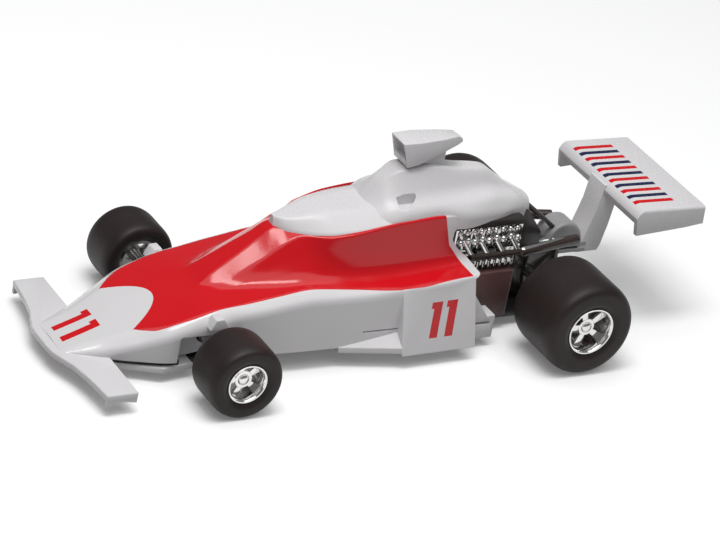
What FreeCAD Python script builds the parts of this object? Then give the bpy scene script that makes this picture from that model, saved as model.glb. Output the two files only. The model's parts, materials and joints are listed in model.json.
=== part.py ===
import FreeCAD, Part
import os
import Sketcher

# Open wheel racing car, a plastic toy of about 1:32.
# +X points to the nose, +Y to the left side, +Z up, and the tyres stand on z = 0.

DOC = FreeCAD.newDocument("RacingCar")

# Driving dimensions in millimetres: alias, value, what it is
SIZES = [
    ("wheelbase", 78.5, "front axle to rear axle"),
    ("drawn_wheelbase", 78.5, "wheelbase to which the places behind the front axle are drawn"),
    ("front_overhang", 30.5, "front axle to the foremost edge of the nose"),
    ("rear_overhang", 33.3, "rear axle to the rear edge of the rear wing"),
    # Wheels
    ("front_tyre_radius", 7.9, "front tyre, outside"),
    ("rear_tyre_radius", 10.3, "rear tyre, outside"),
    ("front_tyre_width", 10.4, "front tyre, across"),
    ("rear_tyre_width", 15.8, "rear tyre, across"),
    ("front_half_width", 30.2, "centre line to the outer face of a front tyre"),
    ("rear_half_width", 30.8, "centre line to the outer face of a rear tyre"),
    ("front_rim_radius", 4.3, "front rim, lip"),
    ("rear_rim_radius", 5.3, "rear rim, lip"),
    ("front_shoulder", 2.1, "rounding of the front tread edges"),
    ("rear_shoulder", 2.6, "rounding of the rear tread edges"),
    ("tyre_recess", 0.7, "tyre wall, set back round the rim"),
    ("tyre_bead", 1.0, "width of that sloping ring of the tyre wall"),
    ("lip_recess", 0.4, "rim lip behind the tyre's outer face"),
    ("axle_radius", 1.2, "steel axle"),
    ("bearing_gap", 0.08, "running gap of an axle in its bearing"),
    ("seat_gap", 0.02, "gap of a pushed-on rim or tyre"),
    ("rim_wall", 0.7, "rim barrel and spoke plate"),
    ("rim_dish", 2.4, "depth of the spoke plate behind the rim lip"),
    ("hub_radius", 1.9, "rim hub"),
    ("hub_length", 4.0, "rim hub, along the axle"),
    ("axle_stub", 0.4, "end of the axle behind the spoke plate's face"),
    ("spoke_count", 5, "spokes of a rim"),
    ("spoke_width", 1.1, "one spoke"),
    ("window_margin", 0.3, "metal left between a rim's window and its hub or barrel"),
    # Floor
    ("pan_bottom", 2.1, "ground to the floor pan"),
    ("pan_thickness", 1.3, "floor pan"),
    ("pan_half_width", 11.0, "floor pan beside the cockpit"),
    ("pan_rear_half_width", 8.5, "floor pan between the rear tyres"),
    ("seat_clearance", 0.05, "gap of a seated piece to the moulding beside it"),
    ("overcut", 1.0, "how far a cut runs past the piece that it goes through"),
    ("belly_half_width", 8.6, "hollow under the body, half"),
    ("belly_height", 7.2, "hollow under the body, above the pan"),
    ("belly_back", 53.0, "front axle to the rear end of the hollow"),
    ("bearing_half_length", 2.4, "axle bearing block, half"),
    ("bearing_sole", 1.0, "plate that joins the two bearing blocks"),
    ("bearing_side_gap", 0.6, "bearing block to the side of the hollow"),
    ("axle_clearance", 0.6, "gap of the axle to the body's side walls"),
    # Front wing
    ("wing_thickness", 1.4, "front wing plate"),
    ("wing_top", 4.8, "ground to the front wing's top"),
    ("wing_half_span", 23.0, "front wing, centre line to tip"),
    ("wing_tip_lead", 26.6, "front axle to the leading edge at the tip"),
    ("wing_mid_lead", 27.2, "front axle to the leading edge at mid span"),
    ("wing_root_lead", 28.2, "front axle to the leading edge beside the nose"),
    ("wing_trail", 19.8, "front axle to the trailing edge"),
    ("nose_lip_half_width", 5.0, "straight front edge of the nose, half"),
    ("wing_root_half_width", 10.6, "centre line to the sweep of the leading edge"),
    ("wing_lip_drop", 1.6, "turned-down strip at the wing tip"),
    ("wing_lip_wall", 0.9, "turned-down strip at the wing tip, wall"),
    # Wheel bay, nose tray and its groove
    ("bay_front", 7.3, "front axle to the front of the wheel bay"),
    ("bay_back", 3.0, "front axle to the back of the wheel bay"),
    ("bay_half_width", 10.4, "body half width in the wheel bay"),
    ("bay_top", 10.2, "ground to the top of the wheel bay"),
    ("groove_height", 1.0, "groove above the nose tray"),
    ("groove_depth", 2.2, "groove above the nose tray"),
    ("tray_front", 19.0, "front axle to the front of the nose tray"),
    ("tray_front_half_width", 9.4, "nose tray at the front"),
    ("tray_knee", 10.0, "front axle to the widest point of the tray"),
    ("tray_knee_half_width", 13.8, "nose tray, widest"),
    ("tray_back", 3.2, "front axle to the back of the tray"),
    ("tray_back_half_width", 13.0, "nose tray at the back"),
    # Side panel and ramp
    ("panel_front", 41.0, "front axle to the front of the side panel"),
    ("panel_top_out", 16.0, "side panel, upper edge"),
    ("panel_foot_out", 19.9, "side panel, lower edge"),
    ("panel_top_z", 16.4, "ground to the side panel's upper edge"),
    ("panel_foot_z", 3.0, "ground to the side panel's lower edge"),
    ("panel_back_top_out", 15.1, "side panel, upper edge at its rear end"),
    ("panel_back_foot_out", 19.7, "side panel, lower edge at its rear end"),
    ("panel_back_top_z", 17.2, "ground to the upper edge at its rear end"),
    ("panel_edge_fall", 0.4, "fall of the side panel's top towards the pod"),
    ("panel_in", 14.0, "inner side of the side panel, inside the pod"),
    ("ramp_front", 28.0, "front axle to the front of the ramp"),
    ("ramp_top", 7.5, "ground to the top of the ramp"),
    ("ramp_foot", 4.6, "ground to the outer edge of the ramp"),
    ("ramp_front_in", 5.4, "ground to the inner edge of the ramp in front"),
    ("ramp_back_in", 8.7, "ground to the inner edge of the ramp behind"),
    ("ramp_out", 19.4, "centre line to the ramp's outer edge behind"),
    ("ramp_slot", 0.35, "slot above the ramp"),
    ("ramp_slot_length", 8.0, "slot above the ramp, along the body"),
    # Rear edge of the body, along the engine opening
    ("body_back", 58.3, "front axle to the rear face of the pods"),
    ("shelf_back", 59.8, "front axle to the rear end of the shelf beside the tub"),
    ("shelf_top", 17.6, "ground to the shelf's rear end"),
    ("opening_front", 55.0, "front axle to the foremost point of the engine opening"),
    ("opening_mid", 22.8, "ground to the foremost point of the engine opening"),
]

# Body sections from the bottom up, each with its place behind the front axle
BODY_COLUMNS = (
    "back", "low_y", "low_z", "side_y", "side_z", "edge_y", "edge_z", "foot_y", "foot_z",
    "wall_y", "wall_z", "ridge_y", "ridge_z", "crown_y", "crown_z",
)
BODY_SECTIONS = [
    ("tip", -28.6, 6.0, 3.4, 6.0, 4.5, 5.4, 4.8, 4.0, 4.85, 2.6, 4.9, 1.8, 4.95, 0.9, 5.0),
    ("bow", -22.0, 8.6, 3.4, 9.0, 5.6, 6.4, 7.0, 4.6, 7.15, 3.0, 7.2, 2.0, 7.25, 1.0, 7.3),
    ("nose", -15.0, 11.6, 3.4, 11.8, 8.0, 8.4, 9.7, 6.0, 9.8, 4.0, 9.85, 2.6, 9.9, 1.3, 9.95),
    ("brow", -8.0, 13.8, 3.4, 14.0, 10.6, 12.0, 12.1, 7.4, 12.3, 5.0, 12.4, 3.4, 12.45, 1.8, 12.5),
    ("scuttle", 1.0, 14.2, 4.4, 14.4, 12.8, 12.6, 14.5, 6.8, 15.1, 5.5, 15.35, 4.2, 15.6, 2.4, 15.75),
    ("dash", 10.0, 15.2, 4.6, 15.2, 14.4, 12.9, 15.9, 8.1, 16.5, 6.5, 17.4, 5.0, 18.2, 3.0, 20.6),
    ("cowl", 14.0, 15.4, 4.6, 15.3, 15.0, 13.0, 16.5, 9.2, 16.9, 7.1, 18.8, 5.0, 20.7, 2.8, 23.0),
    ("screen", 17.2, 15.6, 4.6, 15.4, 15.4, 13.1, 17.0, 10.0, 17.3, 7.5, 20.0, 5.0, 22.7, 2.2, 25.7),
    ("rim", 21.0, 15.8, 4.6, 15.6, 15.8, 13.3, 17.4, 10.7, 17.8, 7.8, 21.3, 5.3, 25.2, 3.4, 25.6),
    ("cockpit", 27.0, 16.0, 4.6, 15.9, 15.8, 13.8, 17.1, 11.0, 18.0, 9.4, 21.4, 8.5, 25.9, 6.4, 26.0),
    ("seat", 34.0, 16.2, 4.0, 16.1, 15.6, 14.8, 16.7, 11.0, 17.6, 10.0, 21.4, 9.6, 27.1, 7.0, 27.1),
    ("pod", 42.0, 16.4, 3.2, 16.2, 15.8, 15.6, 16.6, 10.6, 17.4, 9.8, 21.4, 9.3, 28.1, 7.0, 28.1),
    ("hip", 50.0, 16.2, 3.0, 16.0, 16.2, 15.4, 17.0, 10.1, 17.4, 9.4, 21.6, 9.1, 28.4, 6.8, 28.4),
    ("tail", 60.4, 15.8, 3.0, 15.2, 16.8, 14.8, 17.5, 9.6, 17.6, 9.0, 21.6, 8.7, 28.2, 6.4, 28.2),
]

# Cockpit cover sections: side and crown
COVER_COLUMNS = ("back", "side_y", "side_z", "crown_y", "crown_z")
COVER_SECTIONS = [
    ("cover_tip", 17.1, 0.9, 25.6, 0.5, 27.6),
    ("cover_bow", 18.6, 2.6, 25.6, 1.5, 27.6),
    ("cover_brow", 21.0, 4.5, 25.5, 2.5, 27.9),
    ("cover_front", 24.5, 6.7, 25.8, 3.3, 28.8),
    ("cover_mid", 28.0, 8.1, 26.2, 3.9, 29.2),
    ("cover_seat", 34.8, 9.0, 27.0, 4.3, 29.5),
    ("cover_back", 46.0, 8.9, 28.0, 4.5, 29.9),
]

# Engine cover sections from its lip up to the spine
HOOD_COLUMNS = (
    "back", "lip_y", "lip_z", "low_y", "low_z", "top_y", "top_z", "dip_y", "dip_z",
    "side_y", "side_z", "spine_y", "spine_z",
)
HOOD_SECTIONS = [
    ("hood_toe", 37.0, 7.2, 26.0, 7.0, 27.0, 5.8, 28.2, 4.0, 29.0, 2.0, 29.2, 0.9, 29.3),
    ("hood_rise", 41.0, 8.8, 26.0, 8.8, 28.0, 7.4, 29.8, 5.2, 31.0, 2.7, 33.4, 1.6, 34.3),
    ("hood_neck", 44.8, 9.0, 26.0, 9.1, 28.6, 8.0, 30.2, 5.4, 31.6, 2.9, 35.4, 2.4, 36.4),
    ("hood_crest", 51.0, 9.0, 25.2, 9.2, 28.4, 7.9, 30.2, 5.0, 31.6, 2.8, 35.3, 2.2, 36.4),
    ("hood_hip", 58.0, 8.8, 25.0, 8.9, 27.9, 7.4, 30.0, 4.5, 31.7, 2.6, 34.3, 1.9, 35.2),
    ("hood_fall", 64.5, 8.0, 25.5, 8.1, 27.5, 6.4, 30.0, 3.7, 31.6, 2.2, 33.6, 1.5, 34.4),
    ("hood_drop", 68.5, 6.9, 25.6, 7.0, 27.2, 5.4, 29.4, 3.3, 30.6, 2.0, 31.6, 1.3, 31.9),
    ("hood_end", 72.0, 5.3, 24.4, 5.7, 26.8, 4.5, 28.6, 2.9, 29.1, 1.7, 29.3, 0.9, 29.5),
    ("hood_tail", 76.6, 2.8, 21.8, 3.0, 25.0, 2.4, 26.3, 1.8, 26.7, 1.2, 26.9, 0.6, 27.0),
]

SIZES += [
    # Airbox
    ("airbox_lead", 43.4, "front axle to the upper lip of the mouth"),
    ("airbox_lean", 1.6, "lower lip of the mouth behind the upper one"),
    ("airbox_length", 15.2, "airbox, along its top"),
    ("airbox_half_width", 2.8, "airbox at the mouth, half"),
    ("airbox_waist", 3.0, "airbox at its widest, half"),
    ("airbox_waist_place", 4.4, "upper lip of the mouth to the widest place"),
    ("airbox_taper", 2.3, "airbox where its tail begins, half"),
    ("airbox_taper_place", 10.2, "upper lip of the mouth to the start of the tail"),
    ("airbox_tail", 0.8, "airbox at its end, half"),
    ("airbox_top", 42.4, "ground to the top of the airbox"),
    ("airbox_floor", 36.9, "ground to the lower lip of the mouth"),
    ("airbox_tail_drop", 2.9, "end of the airbox below its top"),
    ("airbox_wall", 0.5, "airbox mouth, wall"),
    ("airbox_sill", 1.5, "opening of the mouth above its lower lip"),
    ("airbox_mouth_depth", 2.6, "airbox mouth, depth"),
    ("airbox_neck_half_width", 1.9, "pedestal under the airbox, half"),
    ("airbox_neck_back", 11.4, "upper lip of the mouth to the end of the pedestal"),
    ("intake_front", 42.2, "front axle to the front of the side intake"),
    ("intake_length", 4.4, "side intake of the engine cover, along its upper edge"),
    ("intake_in", 5.0, "centre line to the side intake's upper edge"),
    ("intake_floor", 29.9, "ground to the floor of the side intake"),
    # Engine
    ("engine_front", 56.4, "front axle to the front of the engine"),
    ("engine_back", 72.4, "front axle to the back of the engine"),
    ("block_foot_half_width", 3.6, "engine block at its foot, half"),
    ("block_half_width", 5.6, "engine block at its top, half"),
    ("block_top", 14.2, "ground to the top of the engine block"),
    ("head_inner", 1.0, "centre line to the inner side of a cylinder head"),
    ("head_outer", 7.2, "centre line to the outer side of a cylinder head"),
    ("head_step", 16.4, "ground to the ledge under the cam cover"),
    ("head_waist", 18.4, "ground to the foot of the cam cover"),
    ("head_top", 25.6, "ground to the top of a cylinder head"),
    ("head_ledge", 0.6, "lower part of the head beyond the block"),
    ("head_undercut", 0.9, "foot of the cam cover in from its side"),
    ("head_chamfer", 1.2, "slope of the head's upper corner"),
    ("rib_count", 5, "ribs on the side of a cylinder head"),
    ("rib_width", 0.9, "one rib"),
    ("rib_depth", 0.8, "a rib beyond the head"),
    ("stud_radius", 0.55, "cam cover stud"),
    ("tank_half_width", 9.6, "side tank, outer face"),
    ("tank_top", 14.0, "ground to the top of a side tank"),
    ("tank_back", 71.6, "front axle to the back of a side tank"),
    ("tank_round", 0.8, "rounding of a side tank's corners"),
    # Exhausts
    ("pipe_radius", 0.55, "exhaust primary"),
    ("pipe_sweep", 2.4, "exhaust primary, its lower end behind the upper one"),
    ("collector_radius", 0.65, "exhaust collector"),
    ("tail_pipe_radius", 1.1, "exhaust tail pipe"),
    ("tail_pipe_wall", 0.35, "tail pipe, wall at its open end"),
    ("collector_lead", 4.2, "front of the engine to the front of the collector"),
    ("collector_out", 8.4, "centre line to the collector"),
    ("collector_height", 17.6, "ground to the collector"),
    ("tail_pipe_out", 5.4, "centre line to the end of the tail pipe"),
    ("tail_pipe_back", 10.1, "rear axle to the end of the tail pipe"),
    # Gearbox and rear end
    ("gearbox_back", 7.1, "rear axle to the back of the gearbox"),
    ("gearbox_half_width", 4.2, "gearbox, half"),
    ("gearbox_top", 16.2, "ground to the top of the gearbox"),
    ("gearbox_chamfer", 1.6, "slope of the gearbox's upper corners"),
    ("gearbox_rib", 0.5, "gearbox rib beyond the case"),
    ("stay_radius", 0.5, "stay from the engine cover to the tail tank"),
    ("stay_out", 1.5, "centre line to a stay"),
    ("tail_tank_back", 9.0, "rear axle to the middle of the tail tank"),
    ("tail_tank_radius", 4.2, "tail tank"),
    ("tail_tank_height", 15.4, "ground to the middle of the tail tank"),
    ("tail_tank_half_width", 2.9, "tail tank, half"),
    ("tail_tank_round", 0.6, "rounding of the tail tank's rims"),
    ("bracket_bottom", 12.6, "ground to the wing bracket"),
    ("bracket_leaf", 0.8, "one leaf of the wing bracket"),
    ("bracket_gap", 0.6, "slot between the leaves"),
    ("bracket_half_width", 3.0, "wing bracket, half"),
    # Rear wing and its pillar
    ("pillar_half_width", 2.9, "wing pillar, half"),
    ("pillar_foot", 12.4, "ground to the foot of the pillar"),
    ("pillar_front", 14.5, "rear axle to the front of the pillar at mid height"),
    ("pillar_flare", 2.2, "foot of the pillar in front of that"),
    ("pillar_lean", 1.8, "top of the pillar behind that"),
    ("pillar_chord", 4.7, "wing pillar, front to back"),
    ("rear_wing_lead", 16.4, "rear axle to the leading edge of the rear wing"),
    ("rear_wing_half_span", 16.0, "rear wing, half"),
    ("rear_wing_top", 28.9, "ground to the top of the rear wing at its front"),
    ("rear_wing_fall", 0.5, "fall of the rear wing's top to its rear edge"),
    ("rear_wing_thickness", 1.3, "rear wing plate"),
    ("rear_wing_lip", 3.4, "rolled leading edge below the top"),
    ("rear_wing_roll", 2.2, "length of the roll of the leading edge"),
    ("end_plate_drop", 5.9, "end plate below the top, front"),
    ("end_plate_rise", 1.3, "rise of the end plate's lower edge to the rear"),
    ("end_plate_wall", 1.1, "end plate"),
    ("wing_corner", 0.7, "rounding between the wing and its end plates"),
    # White blocks behind the pods
    ("foot_length", 6.6, "block behind the pod, front to back"),
    ("foot_out", 15.3, "block behind the pod, outer face"),
    ("foot_height", 5.2, "block behind the pod"),
    ("foot_slot", 0.6, "slot in the block"),
    ("foot_slot_z", 5.4, "ground to the slot"),
    ("gusset_height", 6.4, "gusset on the block"),
    ("gusset_wall", 1.6, "gusset, across"),
]

for columns, sections in (
    (BODY_COLUMNS, BODY_SECTIONS), (COVER_COLUMNS, COVER_SECTIONS), (HOOD_COLUMNS, HOOD_SECTIONS),
):
    for name, *values in sections:
        for column, value in zip(columns, values):
            SIZES.append((f"{name}_{column}", value, f"{name} section, {column}"))

# Derived places, worked out from the sizes above
PLACES = [
    ("front_axle_x", "(wheelbase + front_overhang + rear_overhang) / 2 - front_overhang"),
    ("rear_axle_x", "front_axle_x - wheelbase"),
    ("pan_top", "pan_bottom + pan_thickness"),
    ("bearing_half_width", "belly_half_width - bearing_side_gap"),
    ("stretch", "wheelbase / drawn_wheelbase"),
    ("engine_bay_half_width", "head_outer + rib_depth + 0.4"),
]

SHEET = DOC.addObject("Spreadsheet::Sheet", "Sizes")
for row, (alias, value, note) in enumerate(SIZES, start=1):
    SHEET.set(f"A{row}", note)
    SHEET.set(f"B{row}", str(value))
    SHEET.setAlias(f"B{row}", alias)
for row, (alias, formula) in enumerate(PLACES, start=len(SIZES) + 1):
    SHEET.set(f"B{row}", "=" + formula)
    SHEET.setAlias(f"B{row}", alias)
DOC.recompute()

NAMES = {entry[0] for entry in SIZES + PLACES}
PARTS = []


def cells(formula):
    """Write the aliases of a formula as references to the sheet."""
    out = []
    word = ""
    for sign in formula + " ":
        if sign.isalnum() or sign == "_":
            word += sign
            continue
        out.append("Sizes." + word if word in NAMES else word)
        out.append(sign)
        word = ""
    return "".join(out).strip()


def number(formula):
    """Value of a formula of aliases."""
    return float(SHEET.evalExpression(cells(formula)))


def bind(thing, prop, formula):
    thing.setExpression(prop, cells(formula))


def ahead(distance):
    """Place along X of a distance ahead of the front axle."""
    return f"front_axle_x + ({distance})"


def from_axle(distance):
    """Place along X of a distance behind the front axle, stretched with the wheelbase."""
    return f"front_axle_x - ({distance}) * stretch"


def behind(distance):
    """Place along X of a distance behind the rear axle."""
    return f"rear_axle_x - ({distance})"


def place(thing, x="0", y="0", z="0", turn=None):
    """Put an object at a formula place, turned about an axis if asked."""
    if turn:
        thing.Placement = FreeCAD.Placement(FreeCAD.Vector(), FreeCAD.Rotation(*turn))
    bind(thing, "Placement.Base.x", x)
    bind(thing, "Placement.Base.y", y)
    bind(thing, "Placement.Base.z", z)


def keep(thing, label):
    """Name a finished sub-part."""
    thing.Label = label
    PARTS.append(thing)
    return thing


def plane_of(body, role):
    """One of the origin planes or axes of a body."""
    for feature in body.Origin.OriginFeatures:
        if feature.Role == role:
            return feature
    raise ValueError(role)


def fix_vertex(sketch, line, point, x, y, tag):
    """Hold a vertex at two formulas of the sheet."""
    for kind, formula, axis in (("DistanceX", x, -2), ("DistanceY", y, -1)):
        if formula == "0":
            sketch.addConstraint(Sketcher.Constraint("PointOnObject", line, point, axis))
            continue
        index = sketch.addConstraint(
            Sketcher.Constraint(kind, -1, 1, line, point, number(formula))
        )
        name = f"{kind[-1].lower()}_{tag}"
        sketch.renameConstraint(index, name)
        bind(sketch, f"Constraints.{name}", formula)


def outline(body, name, role, points, lift="0", mirrored=None):
    """Closed sketch of straight edges through formula points.

    With mirrored, the points are one half from first to last, and the other half is their
    mirror image about the sketch's V axis (upright sections) or H axis (plan outlines).
    """
    sketch = body.newObject("Sketcher::SketchObject", name)
    sketch.AttachmentSupport = [(plane_of(body, role), "")]
    sketch.MapMode = "FlatFace"
    bind(sketch, "AttachmentOffset.Base.z", lift)
    spots = [FreeCAD.Vector(number(x), number(y), 0) for x, y in points]
    if mirrored == "V":
        spots += [FreeCAD.Vector(-spot.x, spot.y, 0) for spot in reversed(spots)]
    if mirrored == "H":
        spots += [FreeCAD.Vector(spot.x, -spot.y, 0) for spot in reversed(spots)]
    axis = {"V": -2, "H": -1}.get(mirrored)
    count = len(spots)
    edges = [Part.LineSegment(spots[i], spots[(i + 1) % count]) for i in range(count)]
    sketch.addGeometry(edges, False)
    for i in range(count):
        sketch.addConstraint(Sketcher.Constraint("Coincident", i, 2, (i + 1) % count, 1))
    for i, (x, y) in enumerate(points):
        fix_vertex(sketch, i, 1, x, y, str(i))
        if mirrored:
            sketch.addConstraint(Sketcher.Constraint("Symmetric", i, 1, count - 1 - i, 1, axis))
    return sketch


def pad(body, sketch, length, reverse=False):
    feature = body.newObject("PartDesign::Pad", "Pad")
    feature.Profile = sketch
    bind(feature, "Length", length)
    feature.Reversed = reverse
    return feature


def new_body(name):
    return DOC.addObject("PartDesign::Body", name)


def plate(name, points, low, height, mirrored="H"):
    """Flat plate: a plan outline raised from a level."""
    body = new_body(name)
    pad(body, outline(body, name + "Plan", "XY_Plane", points, low, mirrored), height)
    return body


def slab(name, points, low, width):
    """Side outline (along X, up Z) extruded in Y from a low side."""
    body = new_body(name)
    sketch = outline(body, name + "Side", "XZ_Plane", points, f"-({low})")
    pad(body, sketch, width, reverse=True)
    return body


def along(name, points, front, length, mirrored=None):
    """Cross-section (Y, Z) extruded backwards from a place along X."""
    body = new_body(name)
    sketch = outline(body, name + "Section", "YZ_Plane", points, front, mirrored)
    pad(body, sketch, length, reverse=True)
    return body


def skin(name, stations, mirrored="V", ruled=False):
    """Loft through upright sections: (place along X, outline from the bottom up)."""
    body = new_body(name)
    rings = [
        outline(body, f"{name}Section{i}", "YZ_Plane", points, spot, mirrored)
        for i, (spot, points) in enumerate(stations)
    ]
    feature = body.newObject("PartDesign::AdditiveLoft", name + "Loft")
    feature.Profile = rings[0]
    feature.Sections = rings[1:]
    feature.Ruled = ruled
    return body


def table_stations(columns, sections, foot=None):
    """Stations of a section table; foot is a depth below the lowest point, if it is cut off."""
    stations = []
    for name, *_ in sections:
        pairs = zip(columns[1::2], columns[2::2])
        points = [(f"{name}_{y}", f"{name}_{z}") for y, z in pairs]
        if foot:
            points.insert(0, (points[0][0], foot))
        behind_axle = number(f"{name}_back") > 0
        spot = from_axle(f"{name}_back") if behind_axle else ahead(f"-{name}_back")
        stations.append((spot, points))
    return stations


def box(name, low, high):
    """Part::Box between two corners given as formulas."""
    thing = DOC.addObject("Part::Box", name)
    for side, first, last in zip(("Length", "Width", "Height"), low, high):
        bind(thing, side, f"({last}) - ({first})")
    place(thing, *low)
    return thing


def mirror_box(name, low, high, side):
    """Box given for the left side, or its mirror image on the right."""
    if side < 0:
        low, high = (low[0], f"-({high[1]})", low[2]), (high[0], f"-({low[1]})", high[2])
    return box(name, low, high)


def rod(name, radius, length, x, y, z, turn):
    """Part::Cylinder starting at a place and turned to its direction."""
    thing = DOC.addObject("Part::Cylinder", name)
    bind(thing, "Radius", radius)
    bind(thing, "Height", length)
    place(thing, x, y, z, turn)
    return thing


def strut(name, radius, start, end):
    """Round bar between two formula places."""
    first = FreeCAD.Vector(*(number(value) for value in start))
    last = FreeCAD.Vector(*(number(value) for value in end))
    thing = DOC.addObject("Part::Cylinder", name)
    bind(thing, "Radius", radius)
    thing.Height = (last - first).Length
    turn = FreeCAD.Rotation(FreeCAD.Vector(0, 0, 1), last - first)
    thing.Placement = FreeCAD.Placement(first, turn)
    return thing


def cut(name, base, tool):
    thing = DOC.addObject("Part::Cut", name)
    thing.Base = base
    thing.Tool = tool
    return thing


def fuse(name, pieces):
    thing = DOC.addObject("Part::MultiFuse", name)
    thing.Shapes = pieces
    return thing


def common(name, pieces):
    thing = DOC.addObject("Part::MultiCommon", name)
    thing.Shapes = pieces
    return thing


def soften(name, base, radius, wanted):
    """Round the edges of an object that a test picks."""
    DOC.recompute()
    size = number(radius)
    edges = [i for i, edge in enumerate(base.Shape.Edges, start=1) if wanted(edge)]
    thing = DOC.addObject("Part::Fillet", name)
    thing.Base = base
    thing.Edges = [(i, size, size) for i in edges]
    return thing


TO_LEFT = (FreeCAD.Vector(1, 0, 0), -90)
TO_RIGHT = (FreeCAD.Vector(1, 0, 0), 90)
SIDES = (("left", 1), ("right", -1))
SHOULDER_TURNS = (0, 30, 60, 90)


# Wheels: rims, tyres and axles

def ring(name, points):
    """Body made by turning a profile (radius, along) about the local Z axis."""
    body = new_body(name)
    profile = outline(body, name + "Profile", "XZ_Plane", points)
    turn = body.newObject("PartDesign::Revolution", name + "Turn")
    turn.Profile = profile
    turn.ReferenceAxis = (plane_of(body, "Z_Axis"), [""])
    turn.Angle = 360
    return body


def wheel_place(thing, end, side):
    """Put a piece made along local Z into its wheel, outer face outwards."""
    inner = f"{end}_half_width - {end}_tyre_width"
    place(
        thing, f"{end}_axle_x", inner if side > 0 else f"-({inner})", f"{end}_tyre_radius",
        TO_LEFT if side > 0 else TO_RIGHT,
    )


def add_tyre(end, hand, side):
    """Slick tyre with tread edges rounded in steps and a wall set back round the rim."""
    radius, width, shoulder = f"{end}_tyre_radius", f"{end}_tyre_width", f"{end}_shoulder"
    seat = f"{end}_rim_radius + seat_gap"
    bead = f"{seat} + tyre_bead"
    rounding = [
        (f"{radius} - {shoulder} * (1 - sin({turn}))", f"{shoulder} * (1 - cos({turn}))")
        for turn in SHOULDER_TURNS
    ]
    body = ring(f"{end.title()}Tyre{hand.title()}", [
        (seat, "tyre_recess"),
        (bead, "0"),
        *rounding,
        *((out, f"{width} - ({along_axle})") for out, along_axle in reversed(rounding)),
        (bead, width),
        (seat, f"{width} - tyre_recess"),
    ])
    wheel_place(body, end, side)
    keep(body, f"{end}_tyre_{hand}")


def add_rim(end, hand, side):
    """Rim barrel with a dished spoke plate and a hub bored for the axle."""
    rim = f"{end}_rim_radius"
    width = f"{end}_tyre_width"
    bore = "axle_radius + seat_gap"
    barrel = f"{rim} - rim_wall"
    name = f"{end.title()}Rim{hand.title()}"
    body = ring(name, [
        (bore, f"{width} - rim_dish - hub_length"),
        ("hub_radius", f"{width} - rim_dish - hub_length"),
        ("hub_radius", f"{width} - rim_dish - rim_wall"),
        (barrel, f"{width} - rim_dish - rim_wall"),
        (barrel, "tyre_recess"),
        (rim, "tyre_recess"),
        (rim, f"{width} - lip_recess"),
        (barrel, f"{width} - lip_recess"),
        (barrel, f"{width} - rim_dish"),
        ("hub_radius", f"{width} - rim_dish"),
        (bore, f"{width} - rim_dish"),
    ])
    share = "180 / spoke_count"
    inner, outer = "hub_radius + window_margin", f"{barrel} - window_margin"
    inner_x, inner_y = f"({inner}) * cos({share})", f"({inner}) * sin({share}) - spoke_width / 2"
    outer_x, outer_y = f"({outer}) * cos({share})", f"({outer}) * sin({share}) - spoke_width / 2"
    sketch = outline(body, name + "Window", "XY_Plane", [
        (inner_x, inner_y), (outer_x, outer_y), (outer, "0"),
        (outer_x, f"-({outer_y})"), (inner_x, f"-({inner_y})"),
    ], f"{width} - rim_dish + overcut")
    window = body.newObject("PartDesign::Pocket", name + "Pocket")
    window.Profile = sketch
    bind(window, "Length", "rim_wall + 2 * overcut")
    pattern = body.newObject("PartDesign::PolarPattern", name + "Spokes")
    pattern.Originals = [window]
    pattern.Axis = (plane_of(body, "Z_Axis"), [""])
    pattern.Angle = 360
    pattern.Occurrences = int(number("spoke_count"))
    body.Tip = pattern
    wheel_place(body, end, side)
    keep(body, f"{end}_rim_{hand}")


for end in ("front", "rear"):
    reach = f"{end}_half_width - rim_dish - axle_stub"
    axle = rod(
        f"{end.title()}Axle", "axle_radius", f"2 * ({reach})", f"{end}_axle_x", f"-({reach})",
        f"{end}_tyre_radius", TO_LEFT,
    )
    keep(axle, f"{end}_axle")
    for hand, side in SIDES:
        add_tyre(end, hand, side)
        add_rim(end, hand, side)


# Body moulding: a loft through the sections, the front wing, side panels and ramps

shell = skin("Shell", table_stations(BODY_COLUMNS, BODY_SECTIONS), ruled=True)

front_wing = plate("FrontWing", [
    (ahead("wing_trail"), "wing_half_span"),
    (ahead("wing_tip_lead"), "wing_half_span"),
    (ahead("wing_mid_lead"), "(wing_half_span + wing_root_half_width) / 2"),
    (ahead("wing_root_lead"), "wing_root_half_width"),
    (ahead("front_overhang"), "nose_lip_half_width"),
], "wing_top - wing_thickness", "wing_thickness")

moulding = [shell, front_wing]
for hand, side in SIDES:
    moulding.append(mirror_box(
        "WingLip" + hand.title(),
        (ahead("wing_trail"), "wing_half_span - wing_lip_wall",
         "wing_top - wing_thickness - wing_lip_drop"),
        (ahead("wing_tip_lead"), "wing_half_span", "wing_top - wing_thickness / 2"),
        side,
    ))
    sign = "" if side > 0 else "-1 * "
    moulding.append(skin("SidePanel" + hand.title(), [
        (from_axle(spot), [
            (f"{sign}panel_in", "panel_foot_z"),
            (f"{sign}panel{end}_foot_out", "panel_foot_z"),
            (f"{sign}panel{end}_top_out", f"panel{end}_top_z"),
            (f"{sign}panel_in", f"panel{end}_top_z - panel_edge_fall"),
        ])
        for spot, end in (("panel_front", ""), ("body_back + overcut", "_back"))
    ], mirrored=None, ruled=True))
    moulding.append(skin("Ramp" + hand.title(), [
        (from_axle(spot), [
            (f"{sign}panel_in", "pan_top"),
            (f"{sign}{out}", "pan_top"),
            (f"{sign}{out}", "ramp_foot"),
            (f"{sign}panel_in", top),
        ])
        for spot, out, top in (
            ("ramp_front", "cockpit_low_y", "ramp_front_in"),
            ("panel_front + overcut", "ramp_out", "ramp_back_in"),
        )
    ], mirrored=None, ruled=True))

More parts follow.
